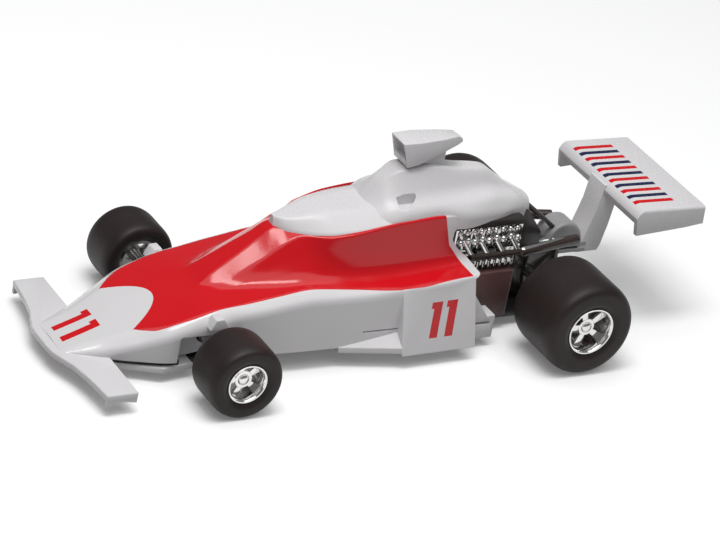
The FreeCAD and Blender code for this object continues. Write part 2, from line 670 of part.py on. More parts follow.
# Hollows of the body: wheel bays, tray grooves, pan seat, belly, axle and engine opening
cutters = [
    box(
        "Belly",
        (from_axle("belly_back"), "-belly_half_width", "pan_bottom"),
        (ahead("bay_front"), "belly_half_width", "pan_top + belly_height"),
    ),
    box(
        "PanSeat",
        (from_axle("engine_back"), "-(pan_half_width + seat_clearance)", "0"),
        (ahead("tray_back"), "pan_half_width + seat_clearance", "pan_top"),
    ),
    box(
        "EngineBay",
        (from_axle("engine_back"), "-engine_bay_half_width", "pan_top"),
        (from_axle("engine_front - 0.6"), "engine_bay_half_width", "hood_hip_lip_z"),
    ),
    rod(
        "AxleTunnel", "axle_radius + axle_clearance", "2 * (bay_half_width + overcut)", "front_axle_x",
        "-(bay_half_width + overcut)", "front_tyre_radius", TO_LEFT,
    ),
    slab("EngineOpening", [
        (from_axle("engine_back"), "0"),
        (from_axle("body_back"), "0"),
        (from_axle("body_back"), "shelf_top - 1"),
        (from_axle("shelf_back"), "shelf_top"),
        (from_axle("shelf_back - 1.4"), "shelf_top + 1.4"),
        (from_axle("opening_front + 1.2"), "opening_mid - 1.8"),
        (from_axle("opening_front"), "opening_mid"),
        (from_axle("opening_front + 0.2"), "hood_hip_lip_z - 0.4"),
        (from_axle("opening_front + 0.9"), "hood_hip_lip_z + 0.3"),
        (from_axle("opening_front + 0.9"), "hood_neck_spine_z"),
        (from_axle("engine_back"), "hood_neck_spine_z"),
    ], "-wing_half_span", "2 * wing_half_span"),
]
for hand, side in SIDES:
    cutters.append(mirror_box(
        "Bay" + hand.title(),
        (from_axle("bay_back"), "bay_half_width", "pan_bottom"),
        (ahead("bay_front"), "wing_half_span", "bay_top"),
        side,
    ))
    sign = "" if side > 0 else "-1 * "
    cutters.append(plate("Groove" + hand.title(), [
        (ahead("tray_front"), f"{sign}(tray_front_half_width - groove_depth)"),
        (ahead("tray_front + 2 * overcut"), f"{sign}wing_half_span"),
        (ahead("bay_front - overcut"), f"{sign}wing_half_span"),
        (ahead("bay_front - overcut"), f"{sign}(tray_knee_half_width - groove_depth)"),
        (ahead("tray_knee"), f"{sign}(tray_knee_half_width - groove_depth)"),
    ], "pan_top", "groove_height", mirrored=None))
    cutters.append(mirror_box(
        "RampSlot" + hand.title(),
        (from_axle("panel_front"), "seat_side_y - 0.5", "ramp_top"),
        (from_axle("panel_front - ramp_slot_length"), "panel_foot_out + overcut", "ramp_top + ramp_slot"),
        side,
    ))

cover_form = skin("CoverForm", table_stations(COVER_COLUMNS, COVER_SECTIONS, "rim_wall_z + 1"))
recess = skin("CockpitRecess", [
    (spot, points[:2] + [(points[1][0], "hood_neck_spine_z")])
    for spot, points in table_stations(COVER_COLUMNS, COVER_SECTIONS, "rim_wall_z + 1")
])
body_shell = keep(cut(
    "BodyShell", fuse("Moulding", moulding), fuse("BodyCuts", cutters + [recess])
), "body_shell")

# Cockpit cover, engine cover and airbox, each cut where it rests on its neighbour
hood_form = skin("HoodForm", table_stations(HOOD_COLUMNS, HOOD_SECTIONS))
intake_back = "intake_front + intake_length"
intakes = []
for hand, side in SIDES:
    sign = "" if side > 0 else "-1 * "
    intakes.append(plate("Intake" + hand.title(), [
        (from_axle("intake_front"), f"{sign}intake_in"),
        (from_axle("intake_front"), f"{sign}hood_neck_low_y"),
        (from_axle(intake_back), f"{sign}(intake_in + 0.6)"),
        (from_axle(intake_back), f"{sign}intake_in"),
    ], "intake_floor", "airbox_floor - intake_floor", mirrored=None))
hood_moulding = cut("HoodMoulding", hood_form, fuse("Intakes", intakes))
engine_cover = keep(cut("EngineCover", hood_moulding, body_shell), "engine_cover")
keep(cut("CockpitCover", cover_form, hood_form), "cockpit_cover")

airbox_side = slab("AirboxSide", [
    (from_axle("airbox_lead + airbox_lean"), "airbox_floor"),
    (from_axle("airbox_lead"), "airbox_top"),
    (from_axle("airbox_lead + airbox_waist_place"), "airbox_top + 0.1"),
    (from_axle("airbox_lead + airbox_taper_place"), "airbox_top - airbox_tail_drop * 0.1"),
    (from_axle("airbox_lead + airbox_length - 1.8"), "airbox_top - airbox_tail_drop * 0.35"),
    (from_axle("airbox_lead + airbox_length - 0.4"), "airbox_top - airbox_tail_drop * 0.7"),
    (from_axle("airbox_lead + airbox_length"), "airbox_top - airbox_tail_drop"),
], "-(airbox_waist + overcut)", "2 * (airbox_waist + overcut)")
airbox_plan = plate("AirboxPlan", [
    (from_axle("airbox_lead + airbox_length + 0.1"), "airbox_tail"),
    (from_axle("airbox_lead + airbox_length - 1.4"), "airbox_tail + 0.6"),
    (from_axle("airbox_lead + airbox_taper_place"), "airbox_taper"),
    (from_axle("airbox_lead + airbox_waist_place"), "airbox_waist"),
    (from_axle("airbox_lead - 0.4"), "airbox_half_width"),
], "airbox_floor - overcut", "airbox_top - airbox_floor + 3 * overcut")
airbox_block = common("AirboxBlock", [airbox_side, airbox_plan])
airbox_neck = box(
    "AirboxNeck",
    (from_axle("airbox_lead + airbox_neck_back"), "-airbox_neck_half_width", "hood_hip_dip_z"),
    (from_axle("airbox_lead + airbox_lean + airbox_wall"), "airbox_neck_half_width",
     "airbox_top - airbox_tail_drop"),
)
mouth_in = "airbox_half_width - airbox_wall"
airbox_mouth = slab("AirboxMouth", [
    (from_axle("airbox_lead + airbox_lean + overcut"), "airbox_floor + airbox_sill"),
    (from_axle("airbox_lead - overcut"), "airbox_floor + airbox_sill"),
    (from_axle("airbox_lead - overcut"), "airbox_top - airbox_wall"),
    (from_axle("airbox_lead + airbox_mouth_depth"), "airbox_top - airbox_wall"),
], f"-({mouth_in})", f"2 * ({mouth_in})")
airbox = cut("AirboxBody", fuse("AirboxSolid", [airbox_block, airbox_neck]), airbox_mouth)
keep(cut("Airbox", airbox, hood_form), "airbox")

# Floor: tray under the nose, pan and front bearing

keep(plate("NoseTray", [
    (ahead("tray_front"), "tray_front_half_width"),
    (ahead("tray_knee"), "tray_knee_half_width"),
    (ahead("tray_back"), "tray_back_half_width"),
], "pan_bottom", "pan_thickness"), "nose_tray")

keep(plate("FloorPan", [
    (ahead("tray_back"), "pan_half_width"),
    (from_axle("body_back + foot_length"), "pan_half_width"),
    (from_axle("body_back + foot_length + 2.5"), "pan_rear_half_width"),
    (behind("gearbox_back + 1"), "pan_rear_half_width"),
], "pan_bottom", "pan_thickness"), "floor_pan")

bearing_arch = fuse("BearingForm", [
    box(
        "BearingBlock",
        (ahead("-bearing_half_length"), "-bearing_half_width", "pan_top"),
        (ahead("bearing_half_length"), "bearing_half_width", "front_tyre_radius"),
    ),
    rod(
        "BearingHead", "bearing_half_length", "2 * bearing_half_width", "front_axle_x",
        "-bearing_half_width", "front_tyre_radius", TO_LEFT,
    ),
])
front_bore = rod(
    "FrontBore", "axle_radius + bearing_gap", "2 * (bearing_half_width + overcut)", "front_axle_x",
    "-(bearing_half_width + overcut)", "front_tyre_radius", TO_LEFT,
)
bearing_middle = box(
    "BearingMiddle",
    (ahead("-(bearing_half_length + overcut)"), "-bearing_half_width * 0.6", "pan_top + bearing_sole"),
    (ahead("bearing_half_length + overcut"), "bearing_half_width * 0.6",
     "front_tyre_radius + bearing_half_length + overcut"),
)
keep(cut(
    "FrontBearing", bearing_arch, fuse("BearingCuts", [front_bore, bearing_middle])
), "front_bearing")

# Engine: block, ribbed heads with studs, side tanks and exhausts

engine_length = "(engine_back - engine_front) * stretch"
keep(along("EngineBlock", [
    ("block_foot_half_width", "pan_top"),
    ("block_half_width", "(pan_top + block_top) / 2"),
    ("block_half_width", "block_top"),
], from_axle("engine_front"), engine_length, mirrored="V"), "engine_block")

RIBS = int(number("rib_count"))
for hand, side in SIDES:
    sign = "" if side > 0 else "-1 * "
    tag = hand.title()
    head = [along("Head" + tag, [
        (f"{sign}head_inner", "block_top"),
        (f"{sign}(block_half_width + head_ledge)", "block_top"),
        (f"{sign}(block_half_width + head_ledge)", "head_step"),
        (f"{sign}(head_outer - head_undercut)", "head_waist"),
        (f"{sign}head_outer", "head_waist"),
        (f"{sign}head_outer", "head_top - head_chamfer"),
        (f"{sign}(head_outer - head_chamfer)", "head_top"),
        (f"{sign}head_inner", "head_top"),
    ], from_axle("engine_front"), engine_length)]
    step = "(engine_back - engine_front - rib_width) / (rib_count - 1)"
    for i in range(RIBS):
        rib_back = from_axle(f"engine_front + rib_width + {i} * {step}")
        rib_front = from_axle(f"engine_front + {i} * {step}")
        head.append(mirror_box(
            f"Rib{tag}{i}",
            (rib_back, "head_outer - 0.2", "head_waist"),
            (rib_front, "head_outer + rib_depth", "head_top - 1.6"),
            side,
        ))
        head.append(mirror_box(
            f"Foot{tag}{i}",
            (rib_back, "block_half_width + 0.2", "block_top"),
            (rib_front, "block_half_width + 1.4", "head_step - 0.4"),
            side,
        ))
    for i in range(RIBS - 1):
        middle = f"engine_front + rib_width / 2 + ({i} + 0.5) * {step}"
        for row, height in enumerate(("head_waist + 1.3", "head_top - 2")):
            head.append(rod(
                f"Stud{tag}{i}{row}", "stud_radius", "rib_depth + 0.3", from_axle(middle),
                f"{sign}(head_outer - 0.3)", height, TO_LEFT if side > 0 else TO_RIGHT,
            ))
    cylinder_head = keep(
        cut("CylinderHead" + tag, fuse("HeadForm" + tag, head), engine_cover),
        "cylinder_head_" + hand,
    )

    pipes = []
    for i in range(RIBS - 1):
        middle = f"engine_front + rib_width / 2 + ({i} + 0.5) * {step}"
        pipes.append(strut(
            f"Primary{tag}{i}", "pipe_radius",
            (from_axle(middle), f"{sign}(head_outer + 0.2)", "(head_waist + head_top) / 2 - 0.6"),
            (from_axle(f"{middle} + pipe_sweep"), f"{sign}collector_out", "collector_height"),
        ))
    knee = (from_axle("engine_back + 1"), f"{sign}collector_out", "collector_height")
    pipes.append(strut(
        "Collector" + tag, "collector_radius",
        (from_axle("engine_front + collector_lead"), f"{sign}collector_out", "collector_height"), knee,
    ))
    elbow = DOC.addObject("Part::Sphere", "Elbow" + tag)
    bind(elbow, "Radius", "tail_pipe_radius")
    place(elbow, *knee)
    pipes.append(elbow)
    pipes.append(strut(
        "TailPipe" + tag, "tail_pipe_radius", knee,
        (behind("tail_pipe_back"), f"{sign}tail_pipe_out", "collector_height - 0.4"),
    ))
    tail_bore = strut(
        "TailBore" + tag, "tail_pipe_radius - tail_pipe_wall",
        (behind("tail_pipe_back - 2"), f"{sign}(tail_pipe_out + 0.42)", "collector_height - 0.35"),
        (behind("tail_pipe_back + 2"), f"{sign}(tail_pipe_out - 0.42)", "collector_height - 0.45"),
    )
    exhaust = cut("ExhaustBored" + tag, fuse("ExhaustForm" + tag, pipes), tail_bore)
    keep(cut("Exhaust" + tag, exhaust, cylinder_head), "exhaust_" + hand)

    tank = mirror_box(
        "Tank" + tag,
        (from_axle("tank_back"), "block_half_width", "pan_top"),
        (from_axle("body_back + seat_clearance"), "tank_half_width", "tank_top"),
        side,
    )
    tank_end = number(from_axle("tank_back"))
    keep(soften(
        "TankRound" + tag, tank, "tank_round",
        lambda edge: abs(edge.BoundBox.XMin - tank_end) < 1e-6 and edge.BoundBox.XLength < 1e-6
        and abs(edge.BoundBox.Center.y) > number("tank_half_width") - 1,
    ), "side_tank_" + hand)

    block = mirror_box(
        "PodBlock" + tag,
        (from_axle("body_back + foot_length"), "pan_half_width", "pan_bottom"),
        (from_axle("body_back"), "foot_out", "pan_bottom + foot_height"),
        side,
    )
    gusset = slab("Gusset" + tag, [
        (from_axle("body_back"), "pan_bottom + foot_height"),
        (from_axle("body_back"), "pan_bottom + foot_height + gusset_height"),
        (from_axle("body_back + foot_length * 0.7"), "pan_bottom + foot_height"),
    ], "foot_out - gusset_wall" if side > 0 else "-foot_out", "gusset_wall")
    slot = mirror_box(
        "FootSlot" + tag,
        (from_axle("body_back + foot_length - overcut"), "foot_out - overcut", "foot_slot_z"),
        (from_axle("body_back"), "foot_out + overcut", "foot_slot_z + foot_slot"),
        side,
    )
    keep(cut("PodFoot" + tag, fuse("FootForm" + tag, [block, gusset]), slot), "pod_foot_" + hand)

# Gearbox, stays, tail tank and wing bracket

case_length = "wheelbase + gearbox_back - engine_back * stretch"
case = along("GearboxCase", [
    ("gearbox_half_width * 0.7", "pan_top"),
    ("gearbox_half_width", "pan_top + 3"),
    ("gearbox_half_width", "gearbox_top - gearbox_chamfer"),
    ("gearbox_half_width - gearbox_chamfer", "gearbox_top"),
], from_axle("engine_back"), case_length, mirrored="V")
gearbox_pieces = [case]
for i, share in enumerate(("0.1", "0.38", "0.9")):
    gearbox_pieces.append(along(f"GearboxRib{i}", [
        ("gearbox_half_width * 0.7", "pan_top"),
        ("gearbox_half_width + gearbox_rib", "pan_top + 3"),
        ("gearbox_half_width + gearbox_rib", "gearbox_top - gearbox_chamfer + gearbox_rib"),
        ("gearbox_half_width - gearbox_chamfer", "gearbox_top + gearbox_rib"),
    ], f"{from_axle('engine_back')} - ({case_length}) * {share}", "rib_width", mirrored="V"))
rear_bore = rod(
    "RearBore", "axle_radius + bearing_gap", "2 * gearbox_half_width + 4", "rear_axle_x",
    "-(gearbox_half_width + 2)", "rear_tyre_radius", TO_LEFT,
)
gearbox = keep(cut("Gearbox", fuse("GearboxForm", gearbox_pieces), rear_bore), "gearbox")

leaf_top = "bracket_bottom + 2 * bracket_leaf + bracket_gap"
bracket_form = fuse("BracketForm", [
    box(
        "BracketLow",
        (behind("pillar_front"), "-bracket_half_width", "bracket_bottom"),
        (behind("gearbox_back"), "bracket_half_width", "bracket_bottom + bracket_leaf"),
    ),
    box(
        "BracketHigh",
        (behind("pillar_front"), "-bracket_half_width", "bracket_bottom + bracket_leaf + bracket_gap"),
        (behind("gearbox_back"), "bracket_half_width", leaf_top),
    ),
    box(
        "BracketWeb",
        (behind("pillar_front"), "-bracket_half_width / 2", "bracket_bottom"),
        (behind("gearbox_back"), "bracket_half_width / 2", leaf_top),
    ),
])
bracket_seat = fuse("BracketSeat", [bracket_form, gearbox])

tail_form = rod(
    "TailTankForm", "tail_tank_radius", "2 * tail_tank_half_width", behind("tail_tank_back"),
    "-tail_tank_half_width", "tail_tank_height", TO_LEFT,
)
tail_round = soften(
    "TailTankRound", tail_form, "tail_tank_round",
    lambda edge: hasattr(edge.Curve, "Radius") and edge.isClosed(),
)
tail_under = box(
    "TailTankUnder",
    (behind("tail_tank_back + 2 * tail_tank_radius"), "-pan_half_width", "pan_top"),
    (behind("tail_tank_back - 2 * tail_tank_radius"), "pan_half_width", leaf_top),
)
tail_tank = keep(cut(
    "TailTank", tail_round, fuse("TailSeat", [bracket_seat, tail_under])
), "tail_tank")

for hand, side in SIDES:
    sign = "" if side > 0 else "-1 * "
    stay = strut(
        "StayForm" + hand.title(), "stay_radius",
        (from_axle("hood_end_back + 2"), f"{sign}stay_out", "hood_end_dip_z - 2"),
        (behind("tail_tank_back + 0.8"), f"{sign}stay_out", "tail_tank_height + 0.2"),
    )
    keep(cut(
        "Stay" + hand.title(), stay, fuse("StaySeat" + hand.title(), [engine_cover, tail_tank])
    ), "stay_" + hand)

# Rear wing with its end plates in one, on the pillar

wing_under = "rear_wing_top - rear_wing_thickness"
wing_low = "rear_wing_lip * 0.35"
wing_back = "rear_overhang"
end_z = "rear_wing_top - rear_wing_fall"
wing_nose = [
    (behind("rear_wing_lead + 0.3"), "rear_wing_top - rear_wing_lip"),
    (behind("rear_wing_lead"), f"rear_wing_top - {wing_low} - 0.8"),
    (behind("rear_wing_lead + 0.5"), f"rear_wing_top - {wing_low} + 0.2"),
    (behind("rear_wing_lead + rear_wing_roll * 0.6"), "rear_wing_top - 0.25"),
    (behind("rear_wing_lead + rear_wing_roll"), "rear_wing_top"),
    (behind(wing_back), end_z),
]
wing_plate = slab("WingPlate", wing_nose + [
    (behind(wing_back), f"{end_z} - rear_wing_thickness"),
    (behind("rear_wing_lead + rear_wing_roll + 1"), wing_under),
    (behind("rear_wing_lead + rear_wing_roll"), f"{wing_under} - 0.4"),
    (behind("rear_wing_lead + rear_wing_thickness + 0.2"), "rear_wing_top - rear_wing_lip"),
], "-rear_wing_half_span", "2 * rear_wing_half_span")
wing_pieces = [wing_plate]
for hand, side in SIDES:
    low = "rear_wing_half_span - end_plate_wall" if side > 0 else "-rear_wing_half_span"
    wing_pieces.append(slab("EndPlate" + hand.title(), [
        (behind("rear_wing_lead + 0.6"), "rear_wing_top - end_plate_drop"),
    ] + wing_nose[1:] + [
        (behind(f"{wing_back} + 0.2"), "rear_wing_top - end_plate_drop + end_plate_rise"),
        (behind(f"{wing_back} - 4.4"), "rear_wing_top - end_plate_drop + end_plate_rise * 0.6"),
    ], low, "end_plate_wall"))
wing_form = fuse("RearWingForm", wing_pieces)
half_span = number("rear_wing_half_span")
wing_floor = number(wing_under)
rear_wing = keep(soften(
    "RearWing", wing_form, "wing_corner",
    lambda edge: abs(abs(edge.BoundBox.YMin) - half_span) < 1e-6 and edge.BoundBox.YLength < 1e-6
    and edge.BoundBox.ZMin > wing_floor and edge.BoundBox.XLength > 4,
), "rear_wing")

pillar_form = slab("PillarForm", [
    (behind("pillar_front - pillar_flare"), "pillar_foot"),
    (behind("pillar_front - pillar_flare * 0.8"), "pillar_foot + 1.2"),
    (behind("pillar_front - pillar_flare * 0.35"), "pillar_foot + 3.4"),
    (behind("pillar_front"), "pillar_foot + 6"),
    (behind("pillar_front + pillar_lean * 0.6"), "pillar_foot + 10"),
    (behind("pillar_front + pillar_lean"), f"{wing_under} + 0.4"),
    (behind("pillar_front + pillar_lean * 0.7 + pillar_chord"), f"{wing_under} + 0.4"),
    (behind("pillar_front + pillar_chord"), "pillar_foot + 6"),
    (behind("pillar_front + pillar_chord - 1"), "pillar_foot + 1"),
    (behind("pillar_front + pillar_chord - 1.6"), "pillar_foot"),
], "-pillar_half_width", "2 * pillar_half_width")
pillar_seat = fuse("PillarSeat", [rear_wing, tail_tank])
pillar = keep(cut("WingPillar", pillar_form, pillar_seat), "wing_pillar")
keep(cut("WingBracket", bracket_form, fuse("BracketEnds", [gearbox, pillar])), "wing_bracket")


def check_and_write():
    """Stop on any failed object, then write each sub-part to its own file."""
    DOC.recompute()
    for thing in DOC.Objects:
        if "Invalid" in thing.State or "Error" in thing.State:
            raise RuntimeError(f"{thing.Name} {thing.Label} failed: {thing.State}")
    os.makedirs("parts", exist_ok=True)
    for thing in PARTS:
        shape = thing.Shape
        if shape.isNull() or not shape.isValid() or not shape.Solids:
            raise RuntimeError(f"{thing.Label} has no valid solid")
        print(f"{thing.Label}: {len(shape.Solids)} solid, {shape.Volume:.1f} mm3")
        shape.exportStep(f"parts/{thing.Label}.step")


check_and_write()
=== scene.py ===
import json
from math import cos, pi, radians, sin

import bpy
from bpy.props import FloatProperty, FloatVectorProperty, IntProperty, PointerProperty
from mathutils import Matrix, Vector

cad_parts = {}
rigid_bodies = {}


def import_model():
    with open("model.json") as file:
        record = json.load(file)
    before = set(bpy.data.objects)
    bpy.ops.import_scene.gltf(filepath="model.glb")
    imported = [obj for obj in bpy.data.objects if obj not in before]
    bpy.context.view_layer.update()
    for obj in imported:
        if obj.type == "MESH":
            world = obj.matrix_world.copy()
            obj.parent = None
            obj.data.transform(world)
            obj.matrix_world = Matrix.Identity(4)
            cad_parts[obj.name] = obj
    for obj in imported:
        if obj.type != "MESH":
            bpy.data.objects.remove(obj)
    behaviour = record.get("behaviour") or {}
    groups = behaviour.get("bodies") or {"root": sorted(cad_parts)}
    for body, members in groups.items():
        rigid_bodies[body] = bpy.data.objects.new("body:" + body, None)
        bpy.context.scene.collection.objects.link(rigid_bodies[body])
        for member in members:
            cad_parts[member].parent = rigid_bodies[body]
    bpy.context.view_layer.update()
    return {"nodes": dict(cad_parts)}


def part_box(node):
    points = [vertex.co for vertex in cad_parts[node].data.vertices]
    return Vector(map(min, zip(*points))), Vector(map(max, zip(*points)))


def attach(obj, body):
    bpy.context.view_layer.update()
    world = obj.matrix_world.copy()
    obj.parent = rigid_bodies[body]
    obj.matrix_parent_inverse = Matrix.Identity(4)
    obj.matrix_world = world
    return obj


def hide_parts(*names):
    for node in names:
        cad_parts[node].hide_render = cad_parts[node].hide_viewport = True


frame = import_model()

bl_info = {
    "name": "Toy racing car",
    "version": (1, 0, 0),
    "blender": (4, 5, 0),
    "location": "View3D > Sidebar > Racing car",
    "description": "Open wheel toy racing car with plastic body, plated engine and slick tyres",
    "category": "Object",
}

MM = 0.001
NODES = frame["nodes"]
HANDS = (("left", 1), ("right", -1))


def centre_of(node):
    """Middle of a construction node's box, in metres."""
    low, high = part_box(node)
    return (Vector(low) + Vector(high)) / 2


FRONT = centre_of("front_axle")
REAR = centre_of("rear_axle")


class CarSizes(bpy.types.PropertyGroup):
    """Roundings and divisions of the pieces."""

    edge: FloatProperty(
        name="Moulded edge", description="Rounding of the plastic pieces' edges",
        default=0.22 * MM, min=0.0, precision=5, unit="LENGTH",
    )
    plate_edge: FloatProperty(
        name="Thin edge", description="Rounding of thin plates and small ribs",
        default=0.12 * MM, min=0.0, precision=5, unit="LENGTH",
    )
    slices: IntProperty(
        name="Slices", description="Slices of the body along the car", default=96, min=24, max=200,
    )
    turns: IntProperty(
        name="Wheel segments", description="Segments of a tyre or rim round its axle",
        default=96, min=24, max=160,
    )


class CarColours(bpy.types.PropertyGroup):
    """Colours of the plastics and the printing."""

    white: FloatVectorProperty(
        name="White plastic", description="Body, covers, nose and wings", subtype="COLOR",
        default=(0.72, 0.705, 0.715), min=0.0, max=1.0,
    )
    red: FloatVectorProperty(
        name="Red print", description="Field on the body, race numbers and wing stripes",
        subtype="COLOR", default=(0.66, 0.006, 0.012), min=0.0, max=1.0,
    )
    blue: FloatVectorProperty(
        name="Blue print", description="Every second stripe of the rear wing", subtype="COLOR",
        default=(0.015, 0.02, 0.07), min=0.0, max=1.0,
    )
    rubber: FloatVectorProperty(
        name="Rubber", description="Slick tyres", subtype="COLOR",
        default=(0.026, 0.018, 0.017), min=0.0, max=1.0,
    )
    plating: FloatVectorProperty(
        name="Plating", description="Plated engine and rims", subtype="COLOR",
        default=(0.78, 0.77, 0.76), min=0.0, max=1.0,
    )


# Half sections in millimetres, from the bottom up. The first number is the distance behind the
# front axle, and pairs of half width and height follow. The roundings belong to the pairs
# between the first and the last.
BODY = [
    (-28.6, 6.0, 3.5, 6.0, 4.5, 5.4, 4.8, 4.0, 4.85, 2.6, 4.9, 1.8, 4.95, 0.9, 5.0),
    (-22.0, 8.6, 3.5, 9.0, 5.6, 6.4, 7.0, 4.6, 7.15, 3.0, 7.2, 2.0, 7.25, 1.0, 7.3),
    (-15.0, 11.6, 3.5, 11.8, 8.0, 8.4, 9.7, 6.0, 9.8, 4.0, 9.85, 2.6, 9.9, 1.3, 9.95),
    (-8.0, 13.8, 3.5, 14.0, 10.6, 12.0, 12.1, 7.4, 12.3, 5.0, 12.4, 3.4, 12.45, 1.8, 12.5),
    (0.6, 14.2, 4.4, 14.4, 12.8, 12.6, 14.5, 6.8, 15.05, 5.4, 15.15, 4.0, 15.2, 3.0, 15.35),
    (4.0, 14.5, 4.5, 14.6, 13.4, 12.7, 15.0, 7.2, 15.45, 6.0, 15.7, 5.0, 16.05, 2.7, 17.5),
    (10.0, 15.2, 4.6, 15.2, 14.4, 12.9, 15.9, 8.1, 16.5, 6.6, 17.7, 5.4, 19.0, 2.1, 21.2),
    (14.0, 15.4, 4.6, 15.3, 15.0, 13.0, 16.5, 9.2, 16.9, 7.1, 18.9, 5.4, 21.2, 1.6, 23.7),
    (17.2, 15.6, 4.6, 15.4, 15.4, 13.1, 17.0, 10.0, 17.3, 7.4, 20.1, 5.2, 23.1, 1.5, 25.7),
    (21.0, 15.8, 4.6, 15.6, 15.8, 13.3, 17.4, 10.7, 17.8, 7.8, 21.3, 5.3, 25.2, 3.4, 25.6),
    (27.0, 16.0, 4.6, 15.9, 15.8, 13.8, 17.1, 11.0, 18.0, 9.4, 21.4, 8.5, 25.9, 6.4, 26.0),
    (34.0, 16.2, 4.0, 16.1, 15.6, 14.8, 16.7, 11.0, 17.6, 10.0, 21.4, 9.6, 27.1, 7.0, 27.1),
    (42.0, 16.4, 3.2, 16.2, 15.8, 15.6, 16.6, 10.6, 17.4, 9.8, 21.4, 9.3, 28.1, 7.0, 28.1),
    (50.0, 16.2, 3.0, 16.0, 16.2, 15.4, 17.0, 10.1, 17.4, 9.4, 21.6, 9.1, 28.4, 6.8, 28.4),
    (60.4, 15.8, 3.0, 15.2, 16.8, 14.8, 17.5, 9.6, 17.6, 9.0, 21.6, 8.7, 28.2, 6.4, 28.2),
]
BODY_ROUND = (1.2, 0.9, 2.0, 3.0, 0.5, 0.5)

COVER = [
    (17.1, 0.9, 22.3, 0.9, 25.6, 0.5, 27.6),
    (18.6, 2.6, 22.3, 2.6, 25.6, 1.5, 27.6),
    (21.0, 4.5, 22.3, 4.5, 25.5, 2.5, 27.9),
    (24.5, 6.7, 22.3, 6.7, 25.8, 3.3, 28.8),
    (28.0, 8.1, 22.3, 8.1, 26.2, 3.9, 29.2),
    (34.8, 9.0, 22.3, 9.0, 27.0, 4.3, 29.5),
    (46.0, 8.9, 22.3, 8.9, 28.0, 4.5, 29.9),
]
COVER_ROUND = (0.7, 1.6)

HOOD = [
    (37.0, 7.2, 26.0, 7.0, 27.0, 5.8, 28.2, 4.0, 29.0, 2.0, 29.2, 0.9, 29.3),
    (41.0, 8.8, 26.0, 8.8, 28.0, 7.4, 29.8, 5.2, 31.0, 2.7, 33.4, 1.6, 34.3),
    (44.8, 8.8, 26.0, 8.9, 28.6, 8.0, 30.2, 5.4, 31.6, 2.9, 35.4, 2.4, 36.4),
    (51.0, 8.5, 25.2, 8.6, 28.6, 7.9, 30.2, 5.0, 31.6, 2.8, 35.3, 2.2, 36.4),
    (58.0, 9.1, 25.0, 9.2, 28.2, 7.5, 30.1, 4.3, 31.2, 2.6, 34.3, 1.9, 35.2),
    (64.5, 8.0, 25.5, 8.1, 27.5, 6.4, 30.1, 3.5, 31.0, 2.2, 33.6, 1.5, 34.4),
    (68.5, 6.9, 25.6, 7.0, 27.2, 5.4, 29.4, 3.1, 30.2, 2.0, 31.6, 1.3, 31.9),
    (72.0, 5.3, 24.4, 5.7, 26.8, 4.5, 28.6, 2.9, 29.1, 1.7, 29.3, 0.9, 29.5),
    (76.6, 2.8, 21.8, 3.0, 25.0, 2.4, 26.3, 1.8, 26.7, 1.2, 26.9, 0.6, 27.0),
]
HOOD_ROUND = (1.2, 1.0, 1.4, 0.9, 0.5)

# Outline of the front wing: distance behind the front axle and half width
WING_EDGE = [
    (-19.8, 23.0), (-26.6, 23.0), (-26.9, 19.0), (-27.4, 15.0), (-28.2, 10.8), (-29.4, 7.6),
    (-30.3, 5.0), (-30.5, 2.4),
]

# Rear end of the body where it opens for the engine: distance behind the front axle and height
ENGINE_OPENING = [
    (70.0, -1.0), (58.3, -1.0), (58.3, 16.6), (59.8, 17.6), (58.9, 18.6), (57.6, 19.6),
    (56.4, 20.8), (55.5, 21.8), (55.0, 22.9), (55.1, 23.9), (55.2, 24.6), (55.9, 25.3),
    (55.9, 37.0), (70.0, 37.0),
]

# End, middle of the axle, then in millimetres: tyre radius, rim radius, tyre width, distance of
# the outer wall from the car's middle, and rounding of the shoulders
WHEELS = (
    ("front", FRONT, 7.9, 4.3, 10.4, 30.2, 2.7),
    ("rear", REAR, 10.3, 5.3, 15.8, 30.8, 3.4),
)
SPOKES = 5

# Lamp, place and size in metres, power in watts
LAMPS = (
    ("Strip light", (0.1, 0.09, 0.63), (0.3, 0.15), 1.5),
    ("Top light", (0.03, 0.08, 0.64), (0.8, 0.8), 2.9),
)

# Side boundary of the red field: distance behind the front axle and half width
RED_EDGE = [
    (-15.1, 8.0), (-13.2, 9.7), (-10.0, 11.6), (-7.0, 12.1), (-3.0, 12.5), (2.5, 12.4),
    (7.7, 12.8), (14.1, 13.0), (20.6, 13.2), (30.0, 14.2), (42.0, 15.8), (57.0, 15.0),
]


# Modelling. Places are given in millimetres, as distance behind the front axle, half width to
# the left and height.

def at(back, y, z):
    """Point in metres from a place in millimetres."""
    return Vector((FRONT.x - back * MM, y * MM, z * MM))


def fresh():
    """Deselect everything, before a primitive is added or pieces are picked."""
    bpy.ops.object.select_all(action="DESELECT")


def pick(obj):
    """Make an object the only selected one."""
    fresh()
    obj.select_set(True)
    bpy.context.view_layer.objects.active = obj
    return obj


def edit(obj, *steps):
    """Run edit mode operators on all of an object's mesh."""
    pick(obj)
    bpy.ops.object.mode_set(mode="EDIT")
    for step in steps:
        bpy.ops.mesh.select_all(action="SELECT")
        step()
    bpy.ops.object.mode_set(mode="OBJECT")
    return obj


def face_out():
    """Turn the selected faces outwards."""
    bpy.ops.mesh.normals_make_consistent(inside=False)


def weld():
    """Merge the selected vertices that lie on each other."""
    bpy.ops.mesh.remove_doubles(threshold=0.002 * MM)


def carve(obj, tool, operation="DIFFERENCE"):
    """Cut a tool from a piece, or join it on, and delete the tool."""
    pick(obj)
    bpy.ops.object.modifier_add(type="BOOLEAN")
    modifier = obj.modifiers[-1]
    modifier.object = tool
    modifier.operation = operation
    modifier.solver = "EXACT"
    bpy.ops.object.modifier_apply(modifier=modifier.name)
    bpy.data.objects.remove(tool)
    return obj


